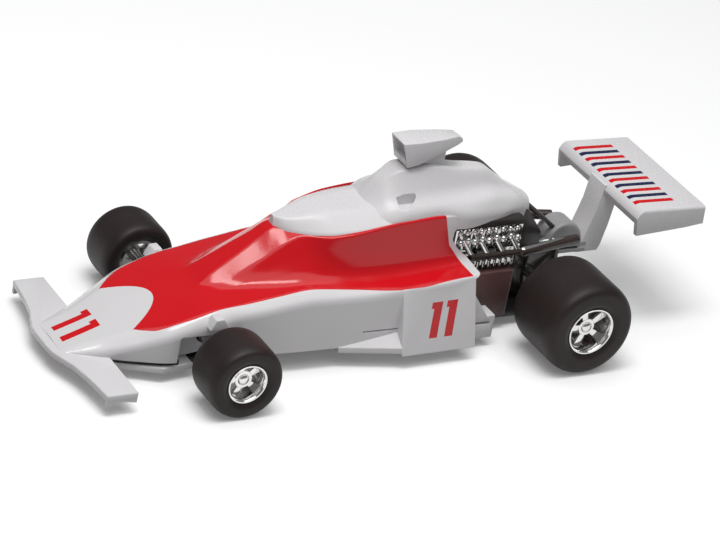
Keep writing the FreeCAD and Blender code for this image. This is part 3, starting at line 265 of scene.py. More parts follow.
def soften(obj, width, segments=3, angle=30):
    """Round the edges of a piece that are sharper than an angle. The width is in metres."""
    pick(obj)
    bpy.ops.object.modifier_add(type="BEVEL")
    modifier = obj.modifiers[-1]
    modifier.width = width
    modifier.segments = segments
    modifier.limit_method = "ANGLE"
    modifier.angle_limit = radians(angle)
    modifier.miter_outer = "MITER_ARC"
    bpy.ops.object.modifier_apply(modifier=modifier.name)
    return obj


def brick(low, high):
    """Box between two corners."""
    first, last = at(*low), at(*high)
    fresh()
    bpy.ops.mesh.primitive_cube_add(size=1, location=(first + last) / 2)
    box = bpy.context.object
    box.scale = [abs(a - b) for a, b in zip(first, last)]
    bpy.ops.object.transform_apply(location=True, rotation=False, scale=True)
    return box


def prism(corners, low, high, axis):
    """Flat outline pushed along an axis from low to high.

    The corners are (back, z) for axis Y, (back, y) for Z and (y, z) for X, where low and high
    are distances behind the front axle.
    """
    place = {
        "X": lambda a, b, c: at(c, a, b),
        "Y": lambda a, b, c: at(a, c, b),
        "Z": lambda a, b, c: at(a, b, c),
    }[axis]
    fresh()
    bpy.ops.mesh.primitive_circle_add(vertices=len(corners), fill_type="NGON")
    obj = bpy.context.object
    for vertex, (a, b) in zip(obj.data.vertices, corners):
        vertex.co = place(a, b, low)
    push = place(0, 0, high) - place(0, 0, low)
    return edit(
        obj,
        lambda: bpy.ops.mesh.extrude_region_move(TRANSFORM_OT_translate={"value": push}),
        face_out,
    )


def lathe(profile, centre, side, turns):
    """Closed profile of radius and distance outwards, turned about an axle's middle."""
    fresh()
    bpy.ops.mesh.primitive_circle_add(vertices=len(profile), fill_type="NOTHING")
    obj = bpy.context.object
    for vertex, (radius, out) in zip(obj.data.vertices, profile):
        vertex.co = (centre.x, centre.y + side * out * MM, centre.z + radius * MM)
    return edit(
        obj,
        lambda: bpy.ops.mesh.spin(steps=turns, angle=2 * pi, center=centre, axis=(0, 1, 0)),
        weld, face_out,
    )


def tube(start, end, radius, segments):
    """Round bar with flat ends between two points in metres. The radius is in millimetres."""
    run = end - start
    fresh()
    bpy.ops.mesh.primitive_cylinder_add(
        vertices=segments, radius=radius * MM, depth=run.length, location=(start + end) / 2,
        rotation=run.to_track_quat("Z", "Y").to_euler(),
    )
    bpy.ops.object.transform_apply(location=True, rotation=True, scale=True)
    return bpy.context.object


def ball(centre, radius, segments=12):
    """Ball at a point in metres. The radius is in millimetres."""
    fresh()
    bpy.ops.mesh.primitive_uv_sphere_add(
        segments=segments, ring_count=segments // 2, radius=radius * MM, location=centre
    )
    bpy.ops.object.transform_apply(location=True, rotation=True, scale=True)
    return bpy.context.object


def join(pieces):
    """One object of several."""
    fresh()
    for piece in pieces:
        piece.select_set(True)
    bpy.context.view_layer.objects.active = pieces[0]
    if len(pieces) > 1:
        bpy.ops.object.join()
    return pieces[0]


def merged_copy(node):
    """Copy of a construction node with whole faces, ready for its edges to be rounded."""
    pick(NODES[node])
    bpy.ops.object.duplicate()
    copy = bpy.context.object
    bpy.ops.object.parent_clear(type="CLEAR_KEEP_TRANSFORM")
    copy.data.materials.clear()
    bpy.ops.mesh.customdata_custom_splitnormals_clear()
    return edit(
        copy, weld,
        lambda: bpy.ops.mesh.dissolve_limited(angle_limit=radians(2), delimit={"NORMAL"}),
        face_out,
    )


def slope(rows, i, column):
    """Tangent of a column at a row that never overshoots its neighbours."""
    if i in (0, len(rows) - 1):
        near = rows[1] if i == 0 else rows[-2]
        return (near[column] - rows[i][column]) / (near[0] - rows[i][0])
    before = (rows[i][column] - rows[i - 1][column]) / (rows[i][0] - rows[i - 1][0])
    after = (rows[i + 1][column] - rows[i][column]) / (rows[i + 1][0] - rows[i][0])
    if before * after <= 0:
        return 0.0
    return 2 * before * after / (before + after)


def section(rows, back):
    """Values of a section table at a distance behind the front axle."""
    i = max(j for j in range(len(rows) - 1) if rows[j][0] <= back or j == 0)
    first, last = rows[i], rows[i + 1]
    span = last[0] - first[0]
    t = (back - first[0]) / span
    values = []
    for column in range(1, len(first)):
        values.append(
            (2 * t ** 3 - 3 * t ** 2 + 1) * first[column]
            + (t ** 3 - 2 * t ** 2 + t) * span * slope(rows, i, column)
            + (3 * t ** 2 - 2 * t ** 3) * last[column]
            + (t ** 3 - t ** 2) * span * slope(rows, i + 1, column)
        )
    return [Vector(pair) for pair in zip(values[::2], values[1::2])]


def rounded(points, radii, steps=4):
    """Line of points with its inner corners turned into curves.

    A curve takes at most just under half of the stretches beside it.
    """
    nearly_half = 0.48
    line = [points[0]]
    for before, corner, after, radius in zip(points, points[1:], points[2:], radii):
        start, end = (
            corner.lerp(near, min(radius / max((near - corner).length, 1e-6), nearly_half))
            for near in (before, after)
        )
        for i in range(steps + 1):
            t = i / steps
            line.append(start.lerp(corner, t).lerp(corner.lerp(end, t), t))
    return line + [points[-1]]


def skin(rows, radii, slices, top_steps=4):
    """Closed smooth skin over a table of half sections, mirrored to the right."""
    rings = []
    for i in range(slices + 1):
        back = rows[0][0] + (rows[-1][0] - rows[0][0]) * i / slices
        half = section(rows, back)
        other = [Vector((-point.x, point.y)) for point in reversed(half)]
        across = [half[-1].lerp(other[0], j / top_steps) for j in range(1, top_steps)]
        flat = [0.0] * (top_steps - 1)
        line = rounded(half + across + other, list(radii) + flat + list(reversed(radii)))
        low = Vector((0, half[0].y))
        rings.append([at(back, *point) for point in [low] + line + [low]])
    across, along = len(rings[0]), len(rings)
    fresh()
    bpy.ops.mesh.primitive_grid_add(x_subdivisions=across - 1, y_subdivisions=along - 1, size=1)
    grid = bpy.context.object
    vertices = sorted(grid.data.vertices, key=lambda v: (round(v.co.y, 5), round(v.co.x, 5)))
    for vertex, spot in zip(vertices, (spot for ring in rings for spot in ring)):
        vertex.co = spot
    return edit(grid, weld, lambda: bpy.ops.mesh.fill_holes(sides=0), face_out)


def finish_piece(obj, name, body, slot, finish_name, *nodes, angle=35):
    """Name, shade and attach a finished piece to its body with its finish, and hide its
    construction nodes. The slot is not used.
    """
    pick(obj)
    bpy.ops.object.shade_smooth_by_angle(angle=radians(angle))
    obj.name = name
    obj.data.name = name
    obj.data.materials.clear()
    obj.data.materials.append(materials()[finish_name])
    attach(obj, body)
    if nodes:
        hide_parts(*nodes)
    return obj


def dress_nodes(rows):
    """Softened copies of construction nodes, from rows of node, name, slot and finish."""
    for node, name, slot, finish_name in rows:
        piece = soften(merged_copy(node), bpy.context.scene.car_sizes.plate_edge, 2)
        finish_piece(piece, name, "car", slot, finish_name, node)


# Materials

def node_of(tree, kind, **settings):
    """New node with its settings."""
    node = tree.nodes.new(kind)
    for name, value in settings.items():
        setattr(node, name, value)
    return node


def feed(tree, socket, value):
    """Link a socket to another, or set its number."""
    if isinstance(value, bpy.types.NodeSocket):
        tree.links.new(value, socket)
    else:
        socket.default_value = value


def calc(tree, operation, *values):
    """Output of a Math node fed with numbers or sockets."""
    node = node_of(tree, "ShaderNodeMath", operation=operation)
    for socket, value in zip(node.inputs, values):
        feed(tree, socket, value)
    return node.outputs[0]


def within(tree, value, low, high):
    """1 where a value lies between two numbers, else 0."""
    return calc(tree, "COMPARE", value, (low + high) / 2, (high - low) / 2)


def all_of(tree, *masks):
    """Mask that is 1 where all masks are."""
    result = masks[0]
    for mask in masks[1:]:
        result = calc(tree, "MULTIPLY", result, mask)
    return result


def any_of(tree, *masks):
    """Mask that is 1 where any mask is."""
    result = masks[0]
    for mask in masks[1:]:
        result = calc(tree, "MAXIMUM", result, mask)
    return result


def tint(tree, mask, first, second):
    """Mix two colours, or colour sockets, by a mask."""
    node = node_of(tree, "ShaderNodeMix", data_type="RGBA")
    feed(tree, node.inputs["Factor"], mask)
    for socket, colour in ((node.inputs["A"], first), (node.inputs["B"], second)):
        feed(tree, socket, colour if isinstance(colour, bpy.types.NodeSocket) else (*colour, 1))
    return node.outputs["Result"]


def object_place(tree):
    """Object coordinates in millimetres: distance behind the front axle, y and z."""
    spot = node_of(tree, "ShaderNodeTexCoord").outputs["Object"]
    split = node_of(tree, "ShaderNodeSeparateXYZ")
    tree.links.new(spot, split.inputs[0])
    back = calc(tree, "MULTIPLY", calc(tree, "SUBTRACT", split.outputs[0], FRONT.x), -1 / MM)
    y = calc(tree, "MULTIPLY", split.outputs[1], 1 / MM)
    z = calc(tree, "MULTIPLY", split.outputs[2], 1 / MM)
    return spot, back, y, z


def noise(tree, spot, scale, detail=3.0):
    """Noise over Object coordinates, its scale in cells for each metre."""
    node = node_of(tree, "ShaderNodeTexNoise")
    tree.links.new(spot, node.inputs["Vector"])
    node.inputs["Scale"].default_value = scale
    node.inputs["Detail"].default_value = detail
    return node.outputs["Fac"]


def spread(tree, value, low, high):
    """Noise remapped from its usual range to a wanted one."""
    node = node_of(tree, "ShaderNodeMapRange")
    tree.links.new(value, node.inputs["Value"])
    node.inputs["From Min"].default_value = 0.3
    node.inputs["From Max"].default_value = 0.7
    node.inputs["To Min"].default_value = low
    node.inputs["To Max"].default_value = high
    return node.outputs["Result"]


def finish(name, colour, rough, drift=0.06, grain=0.02, grain_scale=2600, metallic=0.0,
           shine=0.5, printed=None, plated_above=None):
    """Plastic, rubber or plating with slow colour drift and a fine grain.

    drift is the share by which the colour darkens in places, grain the strength of the fine
    relief and shine the specular level. printed is a function of the tree, its place sockets
    and the base colour that returns the colour with its printing. plated_above is the height in
    millimetres from which the piece is plated.
    """
    drift_scale, relief = 90, 0.05 * MM
    material = bpy.data.materials.new(name)
    material.use_nodes = True
    tree = material.node_tree
    shader = tree.nodes["Principled BSDF"]
    spot, back, y, z = object_place(tree)
    slow = spread(tree, noise(tree, spot, drift_scale), 1 - drift, 1.0)
    shaded = node_of(tree, "ShaderNodeMix", data_type="RGBA", blend_type="MULTIPLY")
    shaded.inputs["Factor"].default_value = 1.0
    base = colour
    if printed:
        base = printed(tree, back, y, z, colour)
    if plated_above:
        metallic = calc(tree, "GREATER_THAN", z, plated_above)
        base = tint(tree, metallic, colour, tuple(bpy.context.scene.car_colours.plating))
    feed(tree, shaded.inputs["A"], base if printed or plated_above else (*colour, 1))
    tree.links.new(slow, shaded.inputs["B"])
    tree.links.new(shaded.outputs["Result"], shader.inputs["Base Color"])
    fine = noise(tree, spot, grain_scale, 2.0)
    tree.links.new(spread(tree, fine, rough * 0.95, rough * 1.06), shader.inputs["Roughness"])
    bump = node_of(tree, "ShaderNodeBump")
    bump.inputs["Strength"].default_value = grain
    bump.inputs["Distance"].default_value = relief
    tree.links.new(fine, bump.inputs["Height"])
    tree.links.new(bump.outputs["Normal"], shader.inputs["Normal"])
    feed(tree, shader.inputs["Metallic"], metallic)
    shader.inputs["Specular IOR Level"].default_value = shine
    return material


def numeral_one(tree, along, across, top, foot, middle, width, flag):
    """Mask of one upright stroke with a flag at its top, in any two coordinates.

    The flag reaches sideways from the stroke's middle and takes a part of its height.
    """
    flag_part = 0.18
    low, high = sorted((top, foot))
    stroke = all_of(
        tree, within(tree, along, low, high),
        within(tree, across, middle - width / 2, middle + width / 2),
    )
    end = sorted((top, top + flag_part * (foot - top)))
    reach = sorted((middle, middle + flag))
    tip = all_of(tree, within(tree, along, *end), within(tree, across, *reach))
    return any_of(tree, stroke, tip)


def field_edge(tree, back):
    """Half width of the red field, read from its table by a curve."""
    first, last, tall = -20.0, 60.0, 20.0
    curve = node_of(tree, "ShaderNodeFloatCurve")
    points = curve.mapping.curves[0].points
    line = [(first, 5.0)] + RED_EDGE + [(last, 15.0)]
    for i, (spot, width) in enumerate(line):
        place = ((spot - first) / (last - first), width / tall)
        if i < 2:
            points[i].location = place
        else:
            points.new(*place)
    curve.mapping.update()
    share = calc(tree, "DIVIDE", calc(tree, "SUBTRACT", back, first), last - first)
    feed(tree, curve.inputs["Value"], share)
    return calc(tree, "MULTIPLY", curve.outputs[0], tall)


def red_field(tree, back, half, z):
    """Mask of the red field: a scalloped front, a rear edge that leans with the body's end."""
    scallop_deepest, scallop_curve = -7.6, 0.112
    bend_height, bend_back, upper_lean, lower_lean = 21.7, 54.3, -0.27, -0.78
    nose_level, nose_rise, highest_level = 13.0, 0.3, 15.6
    inside = calc(tree, "GREATER_THAN", field_edge(tree, back), half)
    hollow = calc(tree, "MULTIPLY", calc(tree, "POWER", half, 2.0), scallop_curve)
    scallop = calc(tree, "SUBTRACT", scallop_deepest, hollow)
    behind_nose = calc(tree, "GREATER_THAN", back, scallop)
    height = calc(tree, "SUBTRACT", z, bend_height)
    lean = calc(
        tree, "MAXIMUM", calc(tree, "MULTIPLY", height, upper_lean),
        calc(tree, "MULTIPLY", height, lower_lean),
    )
    before_engine = calc(tree, "LESS_THAN", back, calc(tree, "ADD", lean, bend_back))
    level = calc(tree, "ADD", calc(tree, "MULTIPLY", back, nose_rise), nose_level)
    above = calc(tree, "GREATER_THAN", z, calc(tree, "MINIMUM", level, highest_level))
    return all_of(tree, inside, behind_nose, before_engine, above)


def body_printing(tree, back, y, z, white):
    """Red field from the nose to the engine, and race numbers on the nose and the panels."""
    half = calc(tree, "ABSOLUTE", y)
    field = red_field(tree, back, half, z)
    on_nose = [
        numeral_one(tree, back, y, -19.4, -27.2, place, 1.6, -1.6) for place in (-2.05, 2.05)
    ]
    panel_from, panel_middle, slant = 15.0, 9.6, -0.2
    off = calc(tree, "MULTIPLY", calc(tree, "SUBTRACT", z, panel_middle), slant)
    sloped = calc(tree, "ADD", back, off)
    outer = calc(tree, "GREATER_THAN", half, panel_from)
    on_side = [
        all_of(tree, outer, numeral_one(tree, z, sloped, 13.1, 6.0, place, 1.9, -1.6))
        for place in (48.9, 52.5)
    ]
    red = bpy.context.scene.car_colours.red
    return tint(tree, any_of(tree, field, *on_nose, *on_side), white, red)


def wing_printing(tree, back, y, z, white):
    """Eleven stripes along the car on the rear wing, red and blue in turn."""
    colours = bpy.context.scene.car_colours
    pitch, count = 2.42, 11
    first, last, upper_side = 96.1, 105.8, 28.2
    spot = calc(tree, "ADD", calc(tree, "DIVIDE", y, pitch), count / 2)
    number = calc(tree, "FLOOR", spot)
    stripe = within(tree, calc(tree, "FRACT", spot), 0.25, 0.75)
    odd = calc(tree, "MODULO", calc(tree, "ADD", number, 20.0), 2.0)
    row = within(tree, number, -0.5, count - 0.5)
    long = within(tree, back, first, last)
    top = calc(tree, "GREATER_THAN", z, upper_side)
    colour = tint(tree, odd, colours.red, colours.blue)
    return tint(tree, all_of(tree, stripe, row, long, top), white, colour)


def materials():
    """Every finish of the car, made once."""
    if "White plastic" in bpy.data.materials:
        return bpy.data.materials
    colours = bpy.context.scene.car_colours
    white = tuple(colours.white)
    finish("White plastic", white, 0.27, drift=0.03, grain=0.007, shine=0.3)
    finish("Printed body", white, 0.15, drift=0.03, grain=0.01, shine=0.4, printed=body_printing)
    finish("Printed wing", white, 0.27, drift=0.03, grain=0.007, shine=0.25, printed=wing_printing)
    finish(
        "Slick rubber", tuple(colours.rubber), 0.5, drift=0.35, grain=0.25, grain_scale=1800,
        shine=0.3,
    )
    finish("Bright plating", tuple(colours.plating), 0.13, drift=0.12, grain=0.05, metallic=1.0)
    finish("Black plastic", (0.02, 0.018, 0.018), 0.4, drift=0.3, grain=0.12)
    finish("Dark engine", (0.035, 0.028, 0.026), 0.33, drift=0.35, grain=0.15)
    finish("Brown plastic", (0.12, 0.06, 0.055), 0.38, drift=0.3, grain=0.15)
    finish("Exhaust", (0.05, 0.034, 0.03), 0.2, drift=0.2, grain=0.1, plated_above=18.4)
    finish("Gearbox casting", (0.035, 0.028, 0.026), 0.2, drift=0.2, grain=0.1, plated_above=15.2)
    finish("Grey plastic", (0.36, 0.355, 0.36), 0.42, drift=0.2, grain=0.12)
    finish("Steel rod", (0.55, 0.54, 0.53), 0.28, drift=0.15, grain=0.06, metallic=1.0)
    return bpy.data.materials


# Operators, one for each piece or group of like pieces

class CAR_OT_body(bpy.types.Operator):
    """Body moulding with nose, front wing, pods and side panels"""

    bl_idname = "racing_car.body"
    bl_label = "Body"

    def execute(self, context):
        sizes = context.scene.car_sizes
        body = skin(BODY, BODY_ROUND, sizes.slices)
        right_edge = [(back, -half) for back, half in reversed(WING_EDGE)]
        wing = prism(WING_EDGE + right_edge, 3.4, 4.8, "Z")
        carve(body, soften(wing, sizes.edge * 1.5), "UNION")
        for _, side in HANDS:
            carve(body, soften(self.wing_tip(side), sizes.plate_edge), "UNION")
            carve(body, soften(self.ear(side), sizes.edge), "UNION")
            carve(body, soften(self.panel(side), sizes.edge), "UNION")
            carve(body, soften(self.ramp(side), sizes.plate_edge), "UNION")
        for cutter in self.middle_cutters() + self.side_cutters():
            carve(body, cutter)
        edit(body, weld)
        finish_piece(body, "body", "car", "body_white", "Printed body", "body_shell", angle=28)
        return {"FINISHED"}

    def wing_tip(self, side):
        """Arched lip under the front wing's end."""
        return prism([
            (-26.5, 4.3), (-26.5, 1.9), (-25.8, 1.9), (-24.6, 2.6), (-23.0, 2.9), (-21.4, 2.7),
            (-19.9, 2.4), (-19.9, 4.3),
        ], 22.1 * side, 22.9 * side, "Y")

    def ear(self, side):
        """Small ear over the axle, beside the front wheel's bay."""
        return prism(
            [(-2.0, 12.0), (-0.9, 14.3), (0.8, 14.4), (2.6, 12.0)], 13.0 * side, 15.8 * side, "Y",
        )

    def panel(self, side):
        """Side panel that leans in towards its top, with a flared foot."""
        corners = [(41.0, 14.0), (41.0, 19.9), (59.3, 19.7), (59.3, 14.0)]
        if side < 0:
            corners = [(41.0, -14.0), (59.3, -14.0), (59.3, -19.7), (41.0, -19.9)]
        panel = prism(corners, 3.0, 16.4, "Z")
        for vertex in panel.data.vertices:
            if vertex.co.z > 10 * MM and abs(vertex.co.y) > 15 * MM:
                rear = vertex.co.x < at(50, 0, 0).x
                vertex.co.y = side * (15.1 if rear else 16.0) * MM
                vertex.co.z = (17.2 if rear else 16.4) * MM
        return panel

    def ramp(self, side):
        """Low ramp in front of the side panel's foot."""
        ramp = prism(
            [(28.0, 3.4), (41.2, 3.4), (41.2, 8.6), (28.0, 5.4)], 14.0 * side, 19.4 * side, "Y",
        )
        for vertex in ramp.data.vertices:
            front = vertex.co.x > at(35, 0, 0).x
            if abs(vertex.co.y) > 15 * MM:
                vertex.co.y = side * (16.1 if front else 19.4) * MM
                vertex.co.z = min(vertex.co.z, 4.7 * MM)
        return ramp

    def middle_cutters(self):
        """Engine opening, hollows above the floor pan, seat of the cover and axle hole."""
        seat = [(back, y, low, y, 37.0, y * 0.5, 37.0) for back, y, low, *_ in COVER]
        return [
            prism(ENGINE_OPENING, -25.0, 25.0, "Y"),
            brick((55.8, -8.4, 3.4), (70.0, 8.4, 25.0)),
            brick((-7.3, -8.6, 2.0), (53.0, 8.6, 10.6)),
            brick((-3.2, -11.05, 0.0), (62.0, 11.05, 3.42)),
            skin(seat, (0.1, 0.1), 30),
            tube(at(0, -11.4, 7.9), at(0, 11.4, 7.9), 1.8, 24),
        ]

    def side_cutters(self):
        """Wheel bays, grooves over the nose tray and slots beside the panels."""
        cutters = []
        for _, side in HANDS:
            bay = brick((-7.3, side * 10.4, 1.4), (3.0, side * 19.4, 10.2))
            cutters.append(soften(bay, 0.6 * MM))
            cutters.append(prism([
                (-19.0, side * 7.2), (-21.0, side * 18.4), (-6.3, side * 18.8),
                (-6.3, side * 11.6), (-10.0, side * 11.6),
            ], 3.4, 4.4, "Z"))
            cutters.append(brick((41.0, side * 15.6, 7.5), (33.0, side * 20.9, 7.85)))
        return cutters


class CAR_OT_covers(bpy.types.Operator):
    """Smooth cockpit cover and engine cover"""

    bl_idname = "racing_car.covers"
    bl_label = "Cockpit and engine covers"

    def execute(self, context):
        cover = skin(COVER, COVER_ROUND, 48)
        finish_piece(cover, "cockpit_lid", "car", "body_white", "White plastic", "cockpit_cover")
        hood = skin(HOOD, HOOD_ROUND, 72)
        for _, side in HANDS:
            intake = prism([
                (42.2, side * 5.0), (42.2, side * 9.6), (46.6, side * 5.6), (46.6, side * 5.0),
            ], 29.9, 33.0, "Z")
            carve(hood, intake)
        edit(hood, weld)
        finish_piece(hood, "engine_lid", "car", "body_white", "White plastic", "engine_cover")
        return {"FINISHED"}


class CAR_OT_airbox(bpy.types.Operator):
    """Airbox above the engine cover with its open mouth"""

    bl_idname = "racing_car.airbox"
    bl_label = "Airbox"

    def execute(self, context):
        # The foot between these places is pinched, and behind the mouth the tail rises.
        foot_front, foot_rear, foot_top, foot_half, foot_share = 45.2, 55.2, 39, 2, 0.6
        tail_front, tail_low, tail_top = 48, 38.3, 42.45
        rise_from, rise = 45, 0.096
        box = merged_copy("airbox")
        for vertex in box.data.vertices:
            back, height = (FRONT.x - vertex.co.x) / MM, vertex.co.z / MM
            in_foot = foot_front < back < foot_rear and height < foot_top
            if in_foot and abs(vertex.co.y) < foot_half * MM:
                vertex.co.y *= foot_share
            if back > tail_front and height > tail_low:
                vertex.co.z = min(height + (back - rise_from) * rise, tail_top) * MM
        soften(box, context.scene.car_sizes.edge * 1.4)
        finish_piece(box, "air_scoop", "car", "body_white", "White plastic", "airbox")
        return {"FINISHED"}


class CAR_OT_rear_wing(bpy.types.Operator):
    """Rear wing with end plates, and its pillar"""

    bl_idname = "racing_car.rear_wing"
    bl_label = "Rear wing"

    def execute(self, context):
        edge = context.scene.car_sizes.edge
        wing = soften(merged_copy("rear_wing"), edge)
        finish_piece(wing, "wing", "car", "body_white", "Printed wing", "rear_wing")
        pillar = soften(merged_copy("wing_pillar"), edge)
        finish_piece(pillar, "pillar", "car", "body_white", "White plastic", "wing_pillar")
        return {"FINISHED"}


class CAR_OT_wheels(bpy.types.Operator):
    """Slick tyres and dished rims"""

    bl_idname = "racing_car.wheels"
    bl_label = "Tyres and rims"

    def execute(self, context):
        for row in WHEELS:
            for hand, side in HANDS:
                self.tyre(context.scene.car_sizes.turns, hand, side, *row)
                self.rim(context.scene.car_sizes.turns, hand, side, *row)
        return {"FINISHED"}

    def tyre(self, turns, hand, side, end, centre, radius, rim, width, half, curve):
        """Tyre with rounded shoulders."""
        inner = half - width
        corners = [
            (rim + 0.02, inner + 0.7), (rim + 1.0, inner), (radius, inner), (radius, half),
            (rim + 1.0, half), (rim + 0.02, half - 0.7),
        ]
        line = rounded([Vector(corner) for corner in corners], (0.5, curve, curve, 0.5), 8)
        finish_piece(
            lathe(line, centre, side, turns), f"{end}_slick_{hand}", f"{end}_wheels",
            "tyre_black", "Slick rubber", f"{end}_tyre_{hand}", angle=50,
        )

    def rim(self, turns, hand, side, end, centre, _radius, rim, width, half, _curve):
        """Dished rim: barrel, hub with a flat cap, and spokes."""
        dish = half - 2.4
        lip = half - 0.4
        line = [
            (rim, half - width + 0.7), (rim, lip - 0.15), (rim - 0.12, lip), (rim - 0.4, lip),
            (rim - 0.55, lip - 0.15), (rim - 0.7, lip - 0.5), (rim - 0.75, dish - 0.4),
            (rim - 0.65, half - width + 0.7),
        ]
        barrel = lathe(line, centre, side, turns)
        hub = lathe([
            (1.22, dish - 4.0), (1.9, dish - 4.0), (1.9, dish - 0.1), (1.8, dish), (1.22, dish),
        ], centre, side, 48)
        cap_middle = side * (dish - 0.1) * MM
        cap = ball(Vector((centre.x, cap_middle, centre.z)), 1.25, 20)
        for vertex in cap.data.vertices:
            vertex.co.y -= (vertex.co.y - cap_middle) * 0.45
        pieces = [barrel, hub, cap]
        first_turn = 0.3
        for i in range(SPOKES):
            turn = Matrix.Rotation(2 * pi * i / SPOKES + first_turn, 4, "Y")
            spoke = self.spoke(centre, rim - 0.7, dish, side)
            spoke.data.transform(
                Matrix.Translation(centre) @ turn @ Matrix.Translation(-centre)
            )
            pieces.append(spoke)
        wheel = join(pieces)
        edit(wheel, face_out)
        finish_piece(
            wheel, f"{end}_wheel_rim_{hand}", f"{end}_wheels", "rim_chrome", "Bright plating",
            f"{end}_rim_{hand}", angle=40,
        )

    def spoke(self, centre, outer, dish, side):
        """One spoke, widest at the barrel, pointing up."""
        fresh()
        bpy.ops.mesh.primitive_cube_add(size=1)
        spoke = bpy.context.object
        for vertex in spoke.data.vertices:
            high = vertex.co.z > 0
            reach = outer + 0.15 if high else 1.7
            breadth = (0.95 if high else 0.62) * (1 if vertex.co.x > 0 else -1)
            front = dish - (0.05 if vertex.co.y * side > 0 else 0.75)
            vertex.co = (centre.x + breadth * MM, side * front * MM, centre.z + reach * MM)
        return soften(spoke, 0.16 * MM, 2)


class CAR_OT_engine(bpy.types.Operator):
    """Plated cylinder heads, block, side tanks and exhausts"""

    bl_idname = "racing_car.engine"
    bl_label = "Engine"

    def execute(self, context):
        sizes = context.scene.car_sizes
        dress_nodes((
            ("engine_block", "crankcase", "engine_dark", "Dark engine"),
            ("side_tank_left", "oil_tank_left", "tank_brown", "Brown plastic"),
            ("side_tank_right", "oil_tank_right", "tank_brown", "Brown plastic"),
            ("cylinder_head_left", "head_left", "engine_chrome", "Bright plating"),
            ("cylinder_head_right", "head_right", "engine_chrome", "Bright plating"),
        ))
        for hand, _ in HANDS:
            node = f"exhaust_{hand}"
            finish_piece(merged_copy(node), f"pipes_{hand}", "car", "engine_dark", "Exhaust", node)
        for hand, side in HANDS:
            self.shade_strip(sizes.plate_edge, hand, side)
            self.nuts(hand, side)
            self.ribbed_strip(sizes.plate_edge, hand, side)
        bulkhead = prism(
            [(72.3, 15.6), (72.3, 24.7), (76.2, 24.6), (80.6, 18.8), (80.6, 15.6)], -3.6, 3.6, "Y",
        )
        soften(bulkhead, sizes.edge)
        finish_piece(bulkhead, "bell_housing", "car", "engine_dark", "Dark engine")
        return {"FINISHED"}

    def shade_strip(self, edge, hand, side):
        """Dark strip between a cylinder head and the lip of the engine cover, as painted shade
        under the lip.
        """
        # Painted shade: a dark strip covers the top of the plated head where the cover's lip
        # shades it
        shade_strip = soften(brick((56.2, side * 5.8, 24.1), (72.5, side * 8.15, 25.6)), edge)
        finish_piece(shade_strip, f"head_rail_{hand}", "car", "engine_dark", "Dark engine")

    def nuts(self, hand, side):
        """Two rows of round plated nuts on a cylinder head, the lower row in zigzag."""
        count, pitch, zigzag = 9, 1.72, 0.5
        nuts = []
        for i in range(count):
            spot = 57.4 + i * pitch
            nuts.append(ball(at(spot, side * 7.9, 23.2), 0.62))
            nuts.append(ball(at(spot + 0.5, side * 7.9, 20.9 + zigzag * (i % 2)), 0.8))
        nuts = edit(join(nuts), face_out)
        finish_piece(nuts, f"head_nuts_{hand}", "car", "engine_chrome", "Bright plating")

    def ribbed_strip(self, edge, hand, side):
        """Plated strip with short ribs under the exhaust collector."""
        count, pitch, thick = 8, 1.35, 0.6
        ribs = [soften(brick((60.4, side * 5.9, 15.2), (71.4, side * 8.3, 16.6)), edge)]
        for i in range(count):
            spot = 61.0 + i * pitch
            rib = brick((spot, side * 7.9, 15.1), (spot + thick, side * 8.9, 16.5))
            ribs.append(soften(rib, edge))
        strip = edit(join(ribs), face_out)
        finish_piece(strip, f"ribbed_strip_{hand}", "car", "engine_chrome", "Bright plating")


class CAR_OT_tail(bpy.types.Operator):
    """Gearbox, tail tank and wing bracket"""

    bl_idname = "racing_car.tail"
    bl_label = "Gearbox and tail"

    def execute(self, context):
        dress_nodes((
            ("gearbox", "transaxle", "engine_chrome", "Gearbox casting"),
            ("tail_tank", "tail_can", "tail_grey", "Grey plastic"),
            ("wing_bracket", "wing_mount", "tail_grey", "Grey plastic"),
        ))
        return {"FINISHED"}


class CAR_OT_floor(bpy.types.Operator):
    """Floor pan, nose tray with black plates in its grooves as painted shade, and the blocks
    behind the pods
    """

    bl_idname = "racing_car.floor"
    bl_label = "Floor"

    def execute(self, context):
        dress_nodes((
            ("floor_pan", "underfloor", "pan_black", "Black plastic"),
            ("nose_tray", "splitter", "body_white", "White plastic"),
            ("pod_foot_left", "pod_block_left", "body_white", "White plastic"),
            ("pod_foot_right", "pod_block_right", "body_white", "White plastic"),
        ))
        for hand, side in HANDS:
            # Painted shade: a black plate in the groove over the nose tray darkens it like a
            # shadowed gap
            shade_plate = prism([
                (-18.7, side * 6.6), (-18.7, side * 9.2), (-15.0, side * 10.8),
                (-10.0, side * 12.6), (-6.4, side * 13.1), (-6.4, side * 11.0),
            ], 3.35, 4.45, "Z")
            soften(shade_plate, context.scene.car_sizes.plate_edge * 0.5)
            finish_piece(shade_plate, f"groove_filler_{hand}", "car", "pan_black", "Black plastic")
        return {"FINISHED"}


class CAR_OT_finishes(bpy.types.Operator):
    """Finishes of the construction pieces that stay"""

    bl_idname = "racing_car.finishes"
    bl_label = "Finishes"

    def execute(self, context):
        kept = {
            "front_bearing": "Black plastic",
            "front_axle": "Steel rod",
            "rear_axle": "Steel rod",
            "stay_left": "Dark engine",
            "stay_right": "Dark engine",
        }
        for node, name in kept.items():
            mesh = NODES[node].data
            mesh.materials.clear()
            mesh.materials.append(materials()[name])
        return {"FINISHED"}


